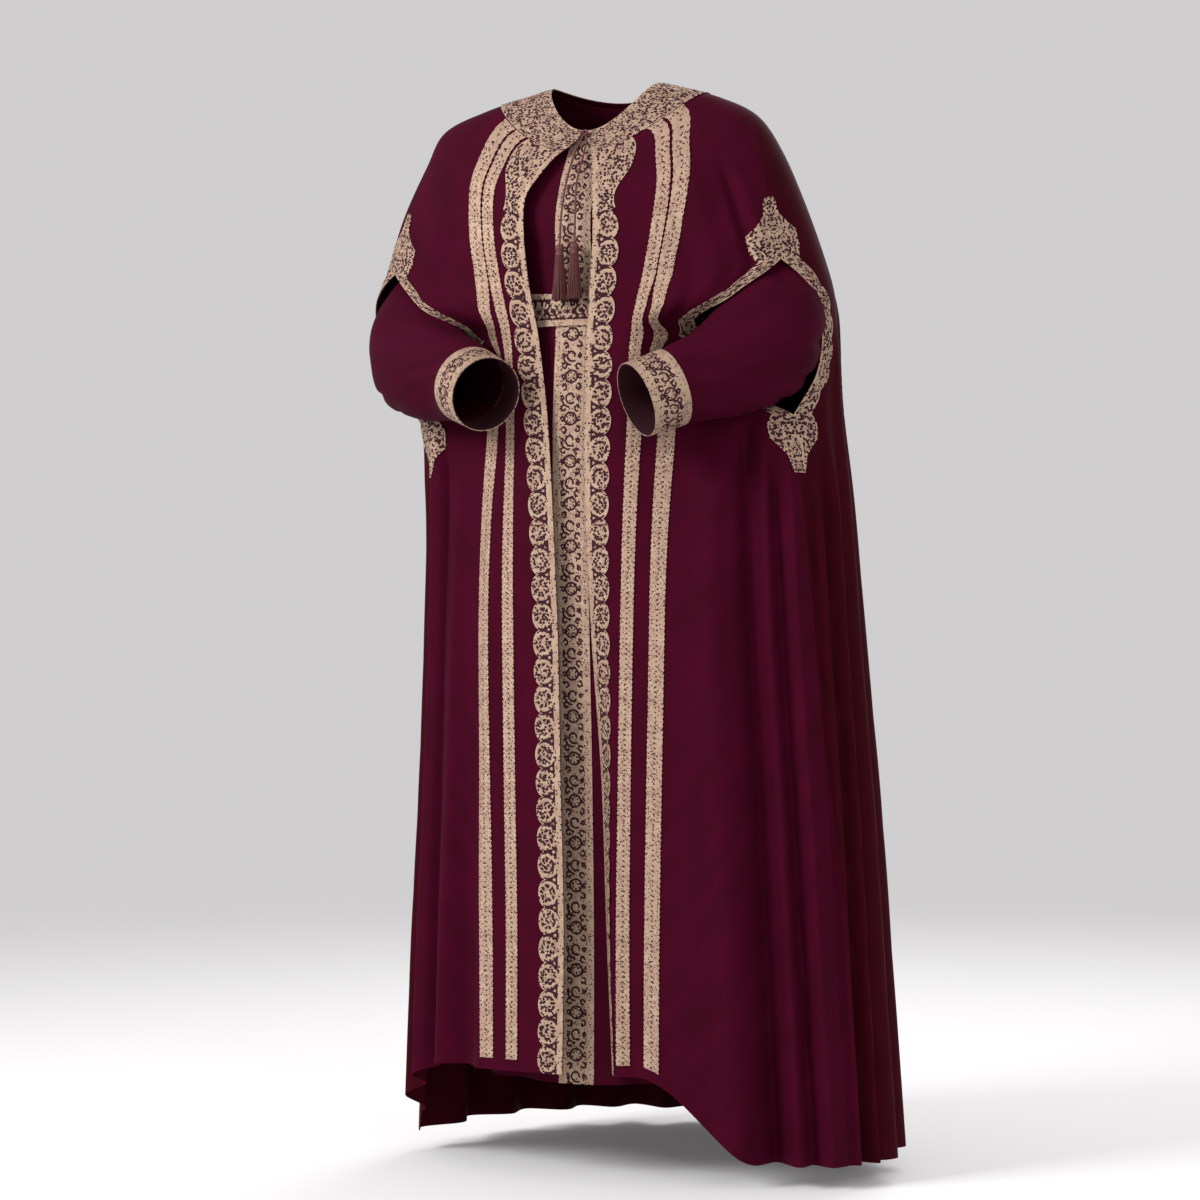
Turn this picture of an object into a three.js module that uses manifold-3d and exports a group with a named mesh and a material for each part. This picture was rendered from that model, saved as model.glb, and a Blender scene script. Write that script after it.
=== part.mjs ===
// A worn two-layer abaya: a long belted dress with an embroidered placket and cuffs, under a wide open
// cape that ties at the neck and lets the forearms out through a trimmed slit in each side.
// Millimetres, +Z up. The wearer faces -Y and the wearer's left is +X. The origin is the middle of the
// neck opening, level with the neck points, where the wearer's shoulders carry the cloth.
import * as THREE from "three";
import { mergeVertices } from "three/addons/utils/BufferGeometryUtils.js";
import Module from "manifold-3d";

const clothThickness = 1.2;
const trimThickness = 1.2;
const seamGap = 0.3;
const trimGap = 0.8; // between a trim and the panel that it is sewn on
const laceGap = 1.35; // the same under the yoke and the scallops, whose panels bend more

const scallopWidth = 36; // front edge to the tip of a scallop
const scallopNotch = 25; // front edge to the notch between two scallops
const scallopCount = 31;
const scallopTop = -185; // height of the first notch
const innerBraid = 18; // width of the inner and outer braids
const outerBraid = 21;
const dressLift = 0.7; // brings the dress up against the cape, which rests on its shoulders
const placketHalf = 25;
const placketBand = 11;

const yokeRow = 1.65; // the row of the cape where the neck yoke ends
const foldGrowth = 0.74; // share of a fold's full growth that it has at the hem
const slitTopRow = 6;
const slitBottomRow = 10;
const slitMiddle = 62; // degrees from the front
const slitForward = 29; // how far the slit opens to the front and to the back, in degrees
const slitBackward = { left: 16, right: 27 };
const slitBandReach = 24; // widest that the slit's trim grows beside the opening, and at its two finials
const finialReach = 37;

// Each row is a ring of the cape from the neck to the hem. side, fore and aft are heights over the
// shoulder, at the front and at the back; left, right, front and back are how far the ring reaches.
const capeRings = [
  { side: 2, fore: -68, aft: -12, left: 77, right: 77, front: 74, back: 66 },
  { side: -7, fore: -86, aft: -27, left: 112, right: 114, front: 86, back: 80 },
  { side: -22, fore: -106, aft: -50, left: 163, right: 174, front: 100, back: 96 },
  { side: -48, fore: -132, aft: -80, left: 213, right: 236, front: 118, back: 112 },
  { side: -95, fore: -166, aft: -124, left: 246, right: 263, front: 133, back: 128 },
  { side: -165, fore: -215, aft: -185, left: 277, right: 298, front: 139, back: 146 },
  { side: -240, fore: -275, aft: -255, left: 304, right: 324, front: 138, back: 168 },
  { side: -292, fore: -310, aft: -300, left: 318, right: 342, front: 137, back: 184 },
  { side: -343, fore: -345, aft: -344, left: 320, right: 337, front: 137, back: 199 },
  { side: -393, fore: -395, aft: -394, left: 321, right: 308, front: 140, back: 214 },
  { side: -452, fore: -452, aft: -452, left: 325, right: 272, front: 144, back: 228 },
  { side: -570, fore: -560, aft: -575, left: 338, right: 258, front: 149, back: 262 },
  { side: -765, fore: -740, aft: -775, left: 353, right: 262, front: 151, back: 310 },
  { side: -980, fore: -930, aft: -995, left: 371, right: 271, front: 151, back: 350 },
  { side: -1200, fore: -1120, aft: -1215, left: 386, right: 283, front: 150, back: 380 },
  { side: -1427, fore: -1316, aft: -1435, left: 402, right: 292, front: 150, back: 405 },
];
// On the same rings, the x of the two front edges and of the middles of the two braids, how far the
// left front edge rolls back, and the width of the trim along the edges.
const capeMarks = [
  { edgeLeft: 1.5, edgeRight: 1.5, inner: 38, outer: 59, curl: 0, trim: 26 },
  { edgeLeft: 9, edgeRight: 14, inner: 70, outer: 90.5, curl: 0, trim: 40 },
  { edgeLeft: 17, edgeRight: 34, inner: 105, outer: 127, curl: 0, trim: 58 },
  { edgeLeft: 25, edgeRight: 50, inner: 117, outer: 139, curl: 0, trim: 53 },
  { edgeLeft: 31, edgeRight: 66, inner: 124, outer: 146, curl: 0, trim: 30 },
  { edgeLeft: 34, edgeRight: 65, inner: 120, outer: 141, curl: 0, trim: 36 },
  { edgeLeft: 30, edgeRight: 58, inner: 109, outer: 130, curl: 0, trim: 36 },
  { edgeLeft: 28, edgeRight: 51, inner: 101, outer: 129, curl: 0, trim: 36 },
  { edgeLeft: 25, edgeRight: 44, inner: 94, outer: 128, curl: 0, trim: 36 },
  { edgeLeft: 25, edgeRight: 36, inner: 91, outer: 126, curl: 0, trim: 36 },
  { edgeLeft: 25, edgeRight: 28, inner: 90, outer: 126, curl: 0, trim: 36 },
  { edgeLeft: 25, edgeRight: 19, inner: 88, outer: 126, curl: 7, trim: 36 },
  { edgeLeft: 31, edgeRight: 10, inner: 85, outer: 125, curl: 17, trim: 36 },
  { edgeLeft: 41, edgeRight: 6, inner: 82, outer: 122, curl: 28, trim: 36 },
  { edgeLeft: 46, edgeRight: 2, inner: 79, outer: 119, curl: 32, trim: 36 },
  { edgeLeft: 54, edgeRight: 4, inner: 79, outer: 118, curl: 33, trim: 36 },
];
const capeRows = [0, 0.8, yokeRow, 2.4, 3.2, 4, 5, 6, 6.5, 7, 7.5, 8, 8.5, 9, 9.5, 10, 11, 12, 13, 14, 15];
const frontColumns = [36, 43, 50, 57, 64]; // angles at the hem of the columns behind the outer braid
const backColumns = [86, 93.5, 101, 109, 117, 125, 133, 140.5, 148, 156, 164, 172];

// How the forearm pulls the slit's front edge inwards and back, from the slit's top to its bottom.
const slitPulls = [
  { x: 0, y: 0 },
  { x: -19, y: -6 },
  { x: -29, y: -8 },
  { x: -45, y: 2 },
  { x: -22, y: 40 },
  { x: -58, y: 41 },
  { x: -74, y: 31 },
  { x: -65, y: 31 },
  { x: 0, y: 0 },
];

// The cape's folds: where each valley runs in degrees from the front, its depth at the hem, its
// half-width in degrees, and the row in which it starts.
const capeFolds = {
  left: [
    { angle: 13.5, depth: 9, width: 2.4, start: 12 },
    { angle: 43, depth: 30, width: 5, start: 9 },
    { angle: 57, depth: 12, width: 4, start: 10 },
    { angle: 71, depth: 17, width: 4.5, start: 9 },
    { angle: 86, depth: 22, width: 5, start: 8 },
    { angle: 101, depth: 24, width: 5, start: 6 },
    { angle: 117, depth: 30, width: 5.5, start: 5 },
    { angle: 133, depth: 26, width: 5, start: 4 },
    { angle: 148, depth: 32, width: 5.5, start: 4 },
    { angle: 164, depth: 28, width: 5, start: 5 },
  ],
  right: [
    { angle: 35, depth: 24, width: 5, start: 10 },
    { angle: 52, depth: 13, width: 4.5, start: 10 },
    { angle: 69, depth: 18, width: 5, start: 9 },
    { angle: 86, depth: 20, width: 5, start: 8 },
    { angle: 103, depth: 26, width: 5.5, start: 6 },
    { angle: 120, depth: 24, width: 5, start: 5 },
    { angle: 136, depth: 30, width: 5.5, start: 4 },
    { angle: 151, depth: 24, width: 5, start: 4 },
    { angle: 167, depth: 30, width: 5.5, start: 5 },
  ],
};

// The dress, from its neck to its hem; the armhole lies between the two rows named below.
const dressRings = [
  { side: -3, fore: -77, aft: -21, left: 83, front: 69, back: 63 },
  { side: -13, fore: -98, aft: -36, left: 113, front: 79, back: 73 },
  { side: -30, fore: -121, aft: -61, left: 148, front: 94, back: 87 },
  { side: -53, fore: -147, aft: -92, left: 176, front: 109, back: 98 },
  { side: -122, fore: -190, aft: -147, left: 173, front: 124, back: 106 },
  { side: -192, fore: -237, aft: -210, left: 158, front: 123, back: 102 },
  { side: -300, fore: -306, aft: -303, left: 144, front: 121, back: 92 },
  { side: -350, fore: -350, aft: -350, left: 145, front: 124, back: 101 },
  { side: -480, fore: -480, aft: -480, left: 177, front: 133, back: 128 },
  { side: -700, fore: -700, aft: -700, left: 192, front: 129, back: 146 },
  { side: -930, fore: -930, aft: -930, left: 198, front: 118, back: 156 },
  { side: -1130, fore: -1130, aft: -1130, left: 202, front: 112, back: 164 },
  { side: -1322, fore: -1334, aft: -1330, left: 206, front: 112, back: 170 },
];
const dressFolds = [
  { angle: 24, depth: 9, width: 6, start: 6.5 },
  { angle: 47, depth: 11, width: 6, start: 6.5 },
  { angle: 70, depth: 12, width: 6, start: 7 },
  { angle: 112, depth: 13, width: 6.5, start: 6.5 },
  { angle: 136, depth: 14, width: 6.5, start: 6.5 },
  { angle: 160, depth: 14, width: 6.5, start: 6.5 },
];
const armholeTopRow = 3;
const armholeBottomRow = 5;
const armholeHalf = 33; // degrees to each side of the side seam
const beltTopRow = 5.74;
const beltBottomRow = 6.72;

// The sleeves' sections. x, y and z are the middle of a section, tall reaches across the bend of the
// elbow and deep along it. elbow and wrist are its shares of the shifts that set the two arms apart.
const sleeveSections = [
  { x: 202, y: 3, z: -146, tall: 60, deep: 58, elbow: 0, wrist: 0 },
  { x: 222, y: 1, z: -192, tall: 57, deep: 56, elbow: 0.15, wrist: 0 },
  { x: 237, y: -3, z: -242, tall: 56, deep: 53, elbow: 0.3, wrist: 0 },
  { x: 245, y: -13, z: -289, tall: 57, deep: 56, elbow: 0.7, wrist: 0 },
  { x: 248, y: -39, z: -331, tall: 64, deep: 57, elbow: 1, wrist: 0 },
  { x: 241, y: -69, z: -363, tall: 68, deep: 52, elbow: 0.6, wrist: 0.1 },
  { x: 221, y: -98, z: -383, tall: 63, deep: 48, elbow: 0.25, wrist: 0.3 },
  { x: 197, y: -120, z: -398, tall: 61, deep: 50, elbow: 0.1, wrist: 0.5 },
  { x: 171.5, y: -140.5, z: -408.7, tall: 56, deep: 49, elbow: 0, wrist: 0.775 },
  { x: 153, y: -160, z: -418, tall: 50, deep: 48, elbow: 0, wrist: 0.9 },
];
const cuffSections = [
  { x: 152, y: -161, z: -418.5, tall: 51, deep: 49, elbow: 0, wrist: 0.9 },
  { x: 135, y: -179, z: -427, tall: 50, deep: 48, elbow: 0, wrist: 1 },
  { x: 118, y: -196, z: -435.5, tall: 49, deep: 47, elbow: 0, wrist: 1.1 },
];
// The right arm's elbow stands further out and a little lower, and its hand nearer the middle and higher.
const armShifts = {
  left: { elbow: 0, elbowLift: 0, wrist: 0, wristLift: 0 },
  right: { elbow: 16, elbowLift: -5, wrist: -22, wristLift: 11 },
};
const sleeveSides = 16;

// Half-widths of the slit's finials at heights above its top and below its bottom.
const topFinial = [[83, 4], [76, 8.5], [66, 8.5], [58, 11], [46, 22], [36, 34], [14, 34], [0, 28]];
const bottomFinial = [[0, 29], [12, 36], [30, 34], [42, 21], [54, 12], [66, 10], [76, 6]];

const tie = { x: 1, y: -85.5, z: -72, radius: 1.5 };
const tieRoutes = {
  left: [[3.3, -87.3, -76.2], [5.4, -90, -83], [7, -101, -98], [7, -129, -145], [8, -136, -185],
    [8, -138.5, -222]],
  right: [[-1.3, -87.3, -76.2], [-3.4, -90, -83], [-6, -102, -99], [-9, -129, -148], [-12, -136, -188],
    [-13, -138.5, -224]],
};
// splay is how far the outer strands lean out; each ring of strands is a radius and a count.
const tassel = {
  headRadius: 6.2,
  headHeight: 15,
  length: 74,
  splay: 4.2,
  rings: [[0, 1], [2.4, 6], [4.4, 11]],
};

const wasm = await Module();
wasm.setup();
const radians = THREE.MathUtils.degToRad;
const clamp = THREE.MathUtils.clamp;
const mix = THREE.MathUtils.lerp;
const smooth = THREE.MathUtils.smoothstep;

// A smooth reading of every column of a table of rings at a row that may be a fraction.
function ringAt(rings, row) {
  const last = rings.length - 1;
  const k = clamp(Math.floor(row), 0, last - 1);
  const u = clamp(row - k, 0, 1);
  const [before, here, next, after] = [k - 1, k, k + 1, k + 2].map((i) => rings[clamp(i, 0, last)]);
  const read = {};
  for (const name of Object.keys(here)) {
    const [p0, p1, p2, p3] = [before[name], here[name], next[name], after[name]];
    const slopeIn = k === 0 ? p2 - p1 : (p2 - p0) / 2;
    const slopeOut = k + 1 === last ? p2 - p1 : (p3 - p1) / 2;
    const cubic = 2 * (p1 - p2) + slopeIn + slopeOut;
    read[name] = ((cubic * u + (3 * (p2 - p1) - 2 * slopeIn - slopeOut)) * u + slopeIn) * u + p1;
  }
  return read;
}

function foldDepth(folds, lastRow, angle, row) {
  let sum = 0;
  for (const fold of folds) {
    const grown = smooth(row, fold.start, lastRow + 2.5) / foldGrowth; // still growing at the hem
    sum += fold.depth * grown * Math.exp(-(((angle - fold.angle) / fold.width) ** 2));
  }
  return sum;
}

// A point on a ring, with the ring's outward direction there.
function onRing(ring, reach, side, angle) {
  const depth = angle < 90 ? ring.front : ring.back;
  const sine = Math.sin(radians(angle));
  const cosine = Math.cos(radians(angle));
  const point = new THREE.Vector3(side * reach * sine, -depth * cosine, 0);
  const outward = new THREE.Vector3((side * sine) / reach, -cosine / depth, 0).normalize();
  return { point, outward, lift: cosine * cosine };
}

// The cape's outer face. side is 1 on the wearer's left and -1 on the right; angle runs from 0 at the
// front to 180 at the back.
function capePoint(side, angle, row) {
  const ring = ringAt(capeRings, row);
  const reach = side > 0 ? ring.left : ring.right;
  const { point, outward, lift } = onRing(ring, reach, side, angle);
  const end = angle < 90 ? ring.fore : ring.aft;
  const flat = side > 0 ? 1 - smooth(angle, 14, 40) : 1 - smooth(angle, 40, 112);
  const towardsHem = smooth(row, slitBottomRow, capeRings.length - 1);
  const liftAtHem = angle < 90 ? flat : side < 0 ? Math.max(flat, lift) : lift;
  point.z = mix(ring.side, end, mix(lift, liftAtHem, towardsHem));
  const folds = side > 0 ? capeFolds.left : capeFolds.right;
  point.addScaledVector(outward, -foldDepth(folds, capeRings.length - 1, angle, row));
  const pull = slitPullAt(row);
  if (pull && angle < capeSeam(row)) {
    const edge = capeSeam(row) - slitOpening(row, slitForward, 0.95);
    const below = smooth(row, slitBottomRow - 0.5, slitBottomRow);
    point.x += side * pull.x * smooth(angle, 13, edge) * (side > 0 ? 1 : 0.86);
    const kept = 1 - below * smooth(angle, 42, slitMiddle - 2);
    point.y += pull.y * smooth(angle, 13, Math.min(edge, 34)) * kept;
  }
  // The cuff presses on the front below its opening.
  const pressed = smooth(row, 8.6, 9.6) * (1 - smooth(row, 10.3, 11.8));
  point.y += (side > 0 ? 15 : 10) * pressed * Math.exp(-(((angle - 25) / 9) ** 2));
  // The left front edge rolls back towards the hem.
  const marks = ringAt(capeMarks, row);
  if (side > 0 && angle < 90 && marks.curl > 0) {
    const across = clamp((reach * Math.sin(radians(angle)) - marks.edgeLeft) / curledWidth(marks), 0, 1);
    point.y += marks.curl * (1 - across);
  }
  return point;
}

// How far the forearm holds the slit's front edge back at a row; the cloth below it comes forward slowly.
function slitPullAt(row) {
  if (row <= slitTopRow || row >= slitBottomRow + 2.2) return null;
  const down = (row - slitTopRow) / (slitBottomRow - slitTopRow);
  const { x, y } = ringAt(slitPulls, down * (slitPulls.length - 1));
  const released = smooth(row, slitBottomRow - 0.5, slitBottomRow + 2.2);
  return { x: row < slitBottomRow ? x : 0, y: row < slitBottomRow - 0.5 ? y : 31 * (1 - released) };
}

const curledWidth = (marks) => Math.sqrt(scallopWidth ** 2 - marks.curl ** 2);

function dressPoint(side, angle, row) {
  const ring = ringAt(dressRings, row);
  const { point, outward, lift } = onRing(ring, ring.left, side, angle);
  point.z = dressLift + mix(ring.side, angle < 90 ? ring.fore : ring.aft, lift);
  point.addScaledVector(outward, -foldDepth(dressFolds, dressRings.length - 1, angle, row));
  return point;
}

// The cape's seam between front and back, and how far the slit opens from it.
function capeSeam(row) {
  const overShoulder = mix(90, slitMiddle, smooth(row, 1, slitTopRow));
  return overShoulder + 9 * smooth(row, slitBottomRow, capeRings.length - 1);
}

function slitOpening(row, widest, power) {
  const u = (row - slitTopRow) / (slitBottomRow - slitTopRow);
  return u <= 0 || u >= 1 ? 0 : widest * (1 - Math.abs(2 * u - 1) ** power);
}

const never = () => false;

// A closed geometry of a wall between two grids of points; a wrapped grid closes on itself. Its quads
// are cut along their other diagonal in the columns where flips says so.
function wallBetween(outer, inner, wrapped = false, flips = never) {
  const rows = outer.length;
  const columns = outer[0].length;
  const positions = [];
  for (const grid of [outer, inner]) {
    for (const line of grid) {
      for (const point of line) positions.push(point.x, point.y, point.z);
    }
  }
  const at = (layer, row, column) => layer * rows * columns + row * columns + (column % columns);
  const index = [];
  const quad = (a, b, c, d) => index.push(a, b, c, a, c, d);
  const steps = wrapped ? columns : columns - 1;
  for (let row = 0; row + 1 < rows; row++) {
    for (let column = 0; column < steps; column++) {
      const corners = (layer) => [at(layer, row, column), at(layer, row + 1, column),
        at(layer, row + 1, column + 1), at(layer, row, column + 1)];
      const [a, b, c, d] = corners(0);
      const [e, f, g, h] = corners(1);
      if (!flips(column)) {
        quad(a, b, c, d);
        quad(e, h, g, f);
      } else {
        quad(b, c, d, a);
        quad(f, e, h, g);
      }
    }
    if (!wrapped) {
      quad(at(0, row, 0), at(1, row, 0), at(1, row + 1, 0), at(0, row + 1, 0));
      quad(at(0, row, steps), at(0, row + 1, steps), at(1, row + 1, steps), at(1, row, steps));
    }
  }
  for (let column = 0; column < steps; column++) {
    quad(at(0, 0, column), at(0, 0, column + 1), at(1, 0, column + 1), at(1, 0, column));
    const end = rows - 1;
    quad(at(0, end, column), at(1, end, column), at(1, end, column + 1), at(0, end, column + 1));
  }
  return facingOut(new THREE.BufferGeometry()
    .setAttribute("position", new THREE.Float32BufferAttribute(positions, 3))
    .setIndex(index));
}

// Turns every face round where a closed geometry is inside out.
function facingOut(geometry) {
  const position = geometry.getAttribute("position");
  const index = geometry.index.array;
  const [a, b, c] = [0, 1, 2].map(() => new THREE.Vector3());
  let volume = 0;
  for (let i = 0; i < index.length; i += 3) {
    a.fromBufferAttribute(position, index[i]);
    b.fromBufferAttribute(position, index[i + 1]);
    c.fromBufferAttribute(position, index[i + 2]);
    volume += a.dot(b.cross(c));
  }
  if (volume < 0) {
    for (let i = 0; i < index.length; i += 3) [index[i + 1], index[i + 2]] = [index[i + 2], index[i + 1]];
  }
  geometry.computeVertexNormals();
  return geometry;
}

// Normals at a grid of points, from its neighbours.
function gridNormals(grid, wrapped = false) {
  const rows = grid.length;
  const columns = grid[0].length;
  return grid.map((line, row) => line.map((point, column) => {
    const before = wrapped ? (column + columns - 1) % columns : Math.max(column - 1, 0);
    const after = wrapped ? (column + 1) % columns : Math.min(column + 1, columns - 1);
    const down = grid[Math.min(row + 1, rows - 1)][column].clone().sub(grid[Math.max(row - 1, 0)][column]);
    const across = line[after].clone().sub(line[before]);
    return down.cross(across).normalize();
  }));
}

const moved = (grid, normals, distance) =>
  grid.map((line, row) =>
    line.map((point, column) => point.clone().addScaledVector(normals[row][column], distance)));

// A panel of cloth: its angles at each row, its outer points, and the surface's own outward normals.
function panel(surface, rows, anglesAt, lastRow, flips = never) {
  const angles = rows.map(anglesAt);
  const points = rows.map((row, i) => angles[i].map((angle) => surface(angle, row)));
  const normals = rows.map((row, i) => angles[i].map((angle) => {
    const above = surface(angle, Math.max(row - 0.03, 0));
    const across = surface(angle + 0.4, row).sub(surface(angle - 0.4, row));
    return surface(angle, Math.min(row + 0.03, lastRow)).sub(above).cross(across).normalize();
  }));
  const middle = points[rows.length >> 1][angles[0].length >> 1];
  const outward = normals[rows.length >> 1][angles[0].length >> 1];
  if (outward.x * middle.x + outward.y * middle.y < 0) {
    normals.forEach((line) => line.forEach((n) => n.negate()));
  }
  return { rows, angles, points, normals, flips };
}

// A point and normal of a panel's faceted outer face, at a row and a column that may be fractions.
function onPanel(cloth, row, column) {
  let k = cloth.rows.findIndex((value) => value > row) - 1;
  if (k < 0) k = row <= cloth.rows[0] ? 0 : cloth.rows.length - 2;
  const down = clamp((row - cloth.rows[k]) / (cloth.rows[k + 1] - cloth.rows[k]), 0, 1);
  const j = Math.min(Math.floor(column), cloth.points[0].length - 2);
  const across = column - j;
  const read = (grid) => {
    const [a, b, c, d] = [grid[k][j], grid[k + 1][j], grid[k + 1][j + 1], grid[k][j + 1]];
    const near = a.clone();
    if (cloth.flips(j)) {
      if (down + across > 1) {
        const far = c.clone().addScaledVector(d.clone().sub(c), 1 - down);
        return far.addScaledVector(b.clone().sub(c), 1 - across);
      }
      return near.addScaledVector(b.clone().sub(a), down).addScaledVector(d.clone().sub(a), across);
    }
    if (down > across) {
      return near.addScaledVector(b.clone().sub(a), down).addScaledVector(c.clone().sub(b), across);
    }
    return near.addScaledVector(d.clone().sub(a), across).addScaledVector(c.clone().sub(d), down);
  };
  return { point: read(cloth.points), normal: read(cloth.normals).normalize() };
}

const clothWall = (cloth) =>
  wallBetween(cloth.points, moved(cloth.points, cloth.normals, -clothThickness), false, cloth.flips);

// A trim on a panel over a grid of places [row, column, height], its outer face raised by each height.
function trimWall(cloth, places, gap = trimGap) {
  const found = places.map((line) => line.map(([row, column]) => onPanel(cloth, row, column)));
  const raised = (height) => found.map((line, i) => line.map(({ point, normal }, j) =>
    point.clone().addScaledVector(normal, gap + height(places[i][j][2] ?? trimThickness))));
  const wholePanel = places[0].length === cloth.points[0].length;
  return wallBetween(raised((height) => height), raised(() => 0), false, wholePanel ? cloth.flips : never);
}

const reachOf = (side, row) => ringAt(capeRings, row)[side > 0 ? "left" : "right"];
const angleOfX = (side, row, x) =>
  (side * Math.asin(clamp(x / reachOf(side, row), 0, 0.985)) * 180) / Math.PI;

function frontEdge(side, row) {
  const marks = ringAt(capeMarks, row);
  return side > 0 ? marks.edgeLeft : marks.edgeRight;
}

// How wide the trim's ground is across x, narrower where the left edge rolls back.
function trimAcross(side, row, width) {
  return side > 0 ? (width * curledWidth(ringAt(capeMarks, row))) / scallopWidth : width;
}

// The row at which the front of the cape reaches a height.
function rowAtHeight(height) {
  let [low, high] = [0, capeRings.length - 1];
  for (let i = 0; i < 40; i++) {
    const middle = (low + high) / 2;
    if (ringAt(capeRings, middle).fore > height) low = middle;
    else high = middle;
  }
  return low;
}

// How many degrees a width of the cape's cloth covers beside an angle.
function degreesWide(side, row, angle, width) {
  return width / capePoint(side, angle, row).distanceTo(capePoint(side, angle + 1, row));
}

const trimReach = (row) =>
  mix(finialReach, slitBandReach, smooth(row, 5.7, 6.6) * (1 - smooth(row, 9.4, 10.3)));

// A front panel's columns: the front edge and its trim, the two braids, the folds, and the slit's trim.
function capeFront(side) {
  const gapAngle = (seamGap / 2 / 300) * (180 / Math.PI);
  const hem = capeRings.length - 1;
  const seamAtHem = capeSeam(hem);
  return panel((angle, row) => capePoint(side, Math.abs(angle), row), capeRows, (row) => {
    const { inner, outer, trim } = ringAt(capeMarks, row);
    const edge = frontEdge(side, row);
    const places = [
      edge,
      edge + trimAcross(side, row, trim),
      inner - innerBraid / 2,
      inner + innerBraid / 2,
      outer - outerBraid / 2,
      outer + outerBraid / 2,
    ];
    const angles = places.map((x) => Math.abs(angleOfX(side, row, x)));
    const end = capeSeam(row) - slitOpening(row, slitForward, 0.95) - gapAngle;
    for (let i = 0; i < angles.length; i++) {
      angles[i] = Math.min(angles[i], end - 5.5 - 1.3 * (angles.length - 1 - i));
      if (i > 0) angles[i] = Math.max(angles[i], angles[i - 1] + 0.3);
    }
    const start = angles.at(-1);
    const covered = degreesWide(side, row, end - 1, trimReach(row));
    const line = end - Math.min(covered, 0.45 * (end - start));
    for (const target of frontColumns) angles.push(mix(start, line, (target - 22) / (seamAtHem - 5 - 22)));
    angles.push(line, end);
    return angles.map((angle) => side * Math.max(angle, 0.05));
  }, hem);
}

// The back panel's columns run from the wearer's left seam round to the right one.
function capeBack() {
  const gapAngle = (seamGap / 2 / 300) * (180 / Math.PI);
  const hem = capeRings.length - 1;
  const seamAtHem = capeSeam(hem);
  return panel(
    (angle, row) => (angle > 180 ? capePoint(-1, 360 - angle, row) : capePoint(1, angle, row)),
    capeRows,
    (row) => {
      const half = (backward) => {
        const start = capeSeam(row) + slitOpening(row, backward, 2.2) + gapAngle;
        const line = start + Math.min(degreesWide(1, row, start, trimReach(row)), 0.3 * (180 - start));
        const shares = backColumns.map((target) => (target - seamAtHem - 5) / (175 - seamAtHem));
        return [start, line, ...shares.map((share) => mix(line, 180, share))];
      };
      const right = half(slitBackward.right).map((angle) => 360 - angle).reverse();
      return [...half(slitBackward.left), 180, ...right];
    },
    hem,
    (column) => column >= backColumns.length + 2,
  );
}

const capeLeft = capeFront(1);
const capeRight = capeFront(-1);
const capeRear = capeBack();
const frontOf = (side) => (side > 0 ? capeLeft : capeRight);

// The yoke round the neck, over all columns of a panel.
function yoke(cloth) {
  const rows = capeRows.filter((row) => row <= yokeRow);
  return trimWall(cloth, rows.map((row) => cloth.angles[0].map((_, column) => [row, column])), laceGap);
}

// A trim inside one strip of a panel, from its edge column towards the next. The outline gives the share
// of the strip covered at each row; rows of the panel are added, and a column follows its diagonals.
function stripTrim(cloth, edge, next, outline, height, gap) {
  const shareAt = (row) => {
    const i = clamp(outline.findIndex(([at]) => at >= row), 1, outline.length - 1);
    const [[low, from], [high, to]] = [outline[i - 1], outline[i]];
    return mix(from, to, clamp((row - low) / (high - low), 0, 1));
  };
  const rows = outline
    .map(([row]) => row)
    .filter((row) => !cloth.rows.some((at) => Math.abs(at - row) < 0.012));
  for (const row of cloth.rows) {
    if (row < outline[0][0] - 0.012 || row > outline.at(-1)[0] + 0.012) continue;
    rows.push(...(row > slitBottomRow - 0.6 ? [row - 0.008, row] : [row]));
  }
  return trimWall(cloth, rows.sort((a, b) => a - b).map((row) => {
    const far = mix(edge, next, shareAt(row));
    const k = clamp(cloth.rows.findIndex((value) => value > row) - 1, 0, cloth.rows.length - 2);
    const down = (row - cloth.rows[k]) / (cloth.rows[k + 1] - cloth.rows[k]);
    const first = Math.min(edge, next);
    const diagonal = first + (cloth.flips(Math.floor(first)) ? 1 - down : down);
    const [low, high] = [Math.min(edge, far), Math.max(edge, far)];
    const middle = clamp(diagonal, mix(low, high, 0.06), mix(low, high, 0.94));
    return [edge, middle, far].map((at) => [row, at, height]);
  }), gap);
}

// The front edge trim: a lappet under the yoke that narrows to a band with scallops down to the hem.
function scallopTrim(side) {
  const hem = capeRings.length - 1;
  const pitch = (capeRings[hem].fore - scallopTop) / scallopCount;
  const outline = [yokeRow + 0.03, 2.4, 3.2, 3.6].map((row) => [row, 1]);
  const profile = [0, 0.95, 0.95]; // how far a scallop stands out at each third of its pitch
  for (let i = 0; i < scallopCount; i++) {
    profile.forEach((share, third) => {
      const row = rowAtHeight(scallopTop + pitch * (i + third / 3));
      outline.push([row, mix(scallopNotch, scallopWidth, share) / scallopWidth]);
    });
  }
  outline.push([hem, scallopNotch / scallopWidth]);
  return stripTrim(frontOf(side), 0, 1, outline, 1.5, laceGap);
}

function braid(side, firstColumn) {
  const rows = [yokeRow + 0.03, ...capeRows.filter((row) => row > yokeRow)];
  return trimWall(frontOf(side), rows.map((row) => [[row, firstColumn], [row, firstColumn + 1]]));
}

// The row at which the side seam is a height above another of its rows.
function seamRow(row, up) {
  const heightAt = (value) => capePoint(1, capeSeam(value), value).z;
  const target = heightAt(row) + up;
  let [low, high] = [2, capeRings.length - 1];
  for (let i = 0; i < 40; i++) {
    const middle = (low + high) / 2;
    if (heightAt(middle) > target) low = middle;
    else high = middle;
  }
  return low;
}

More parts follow.
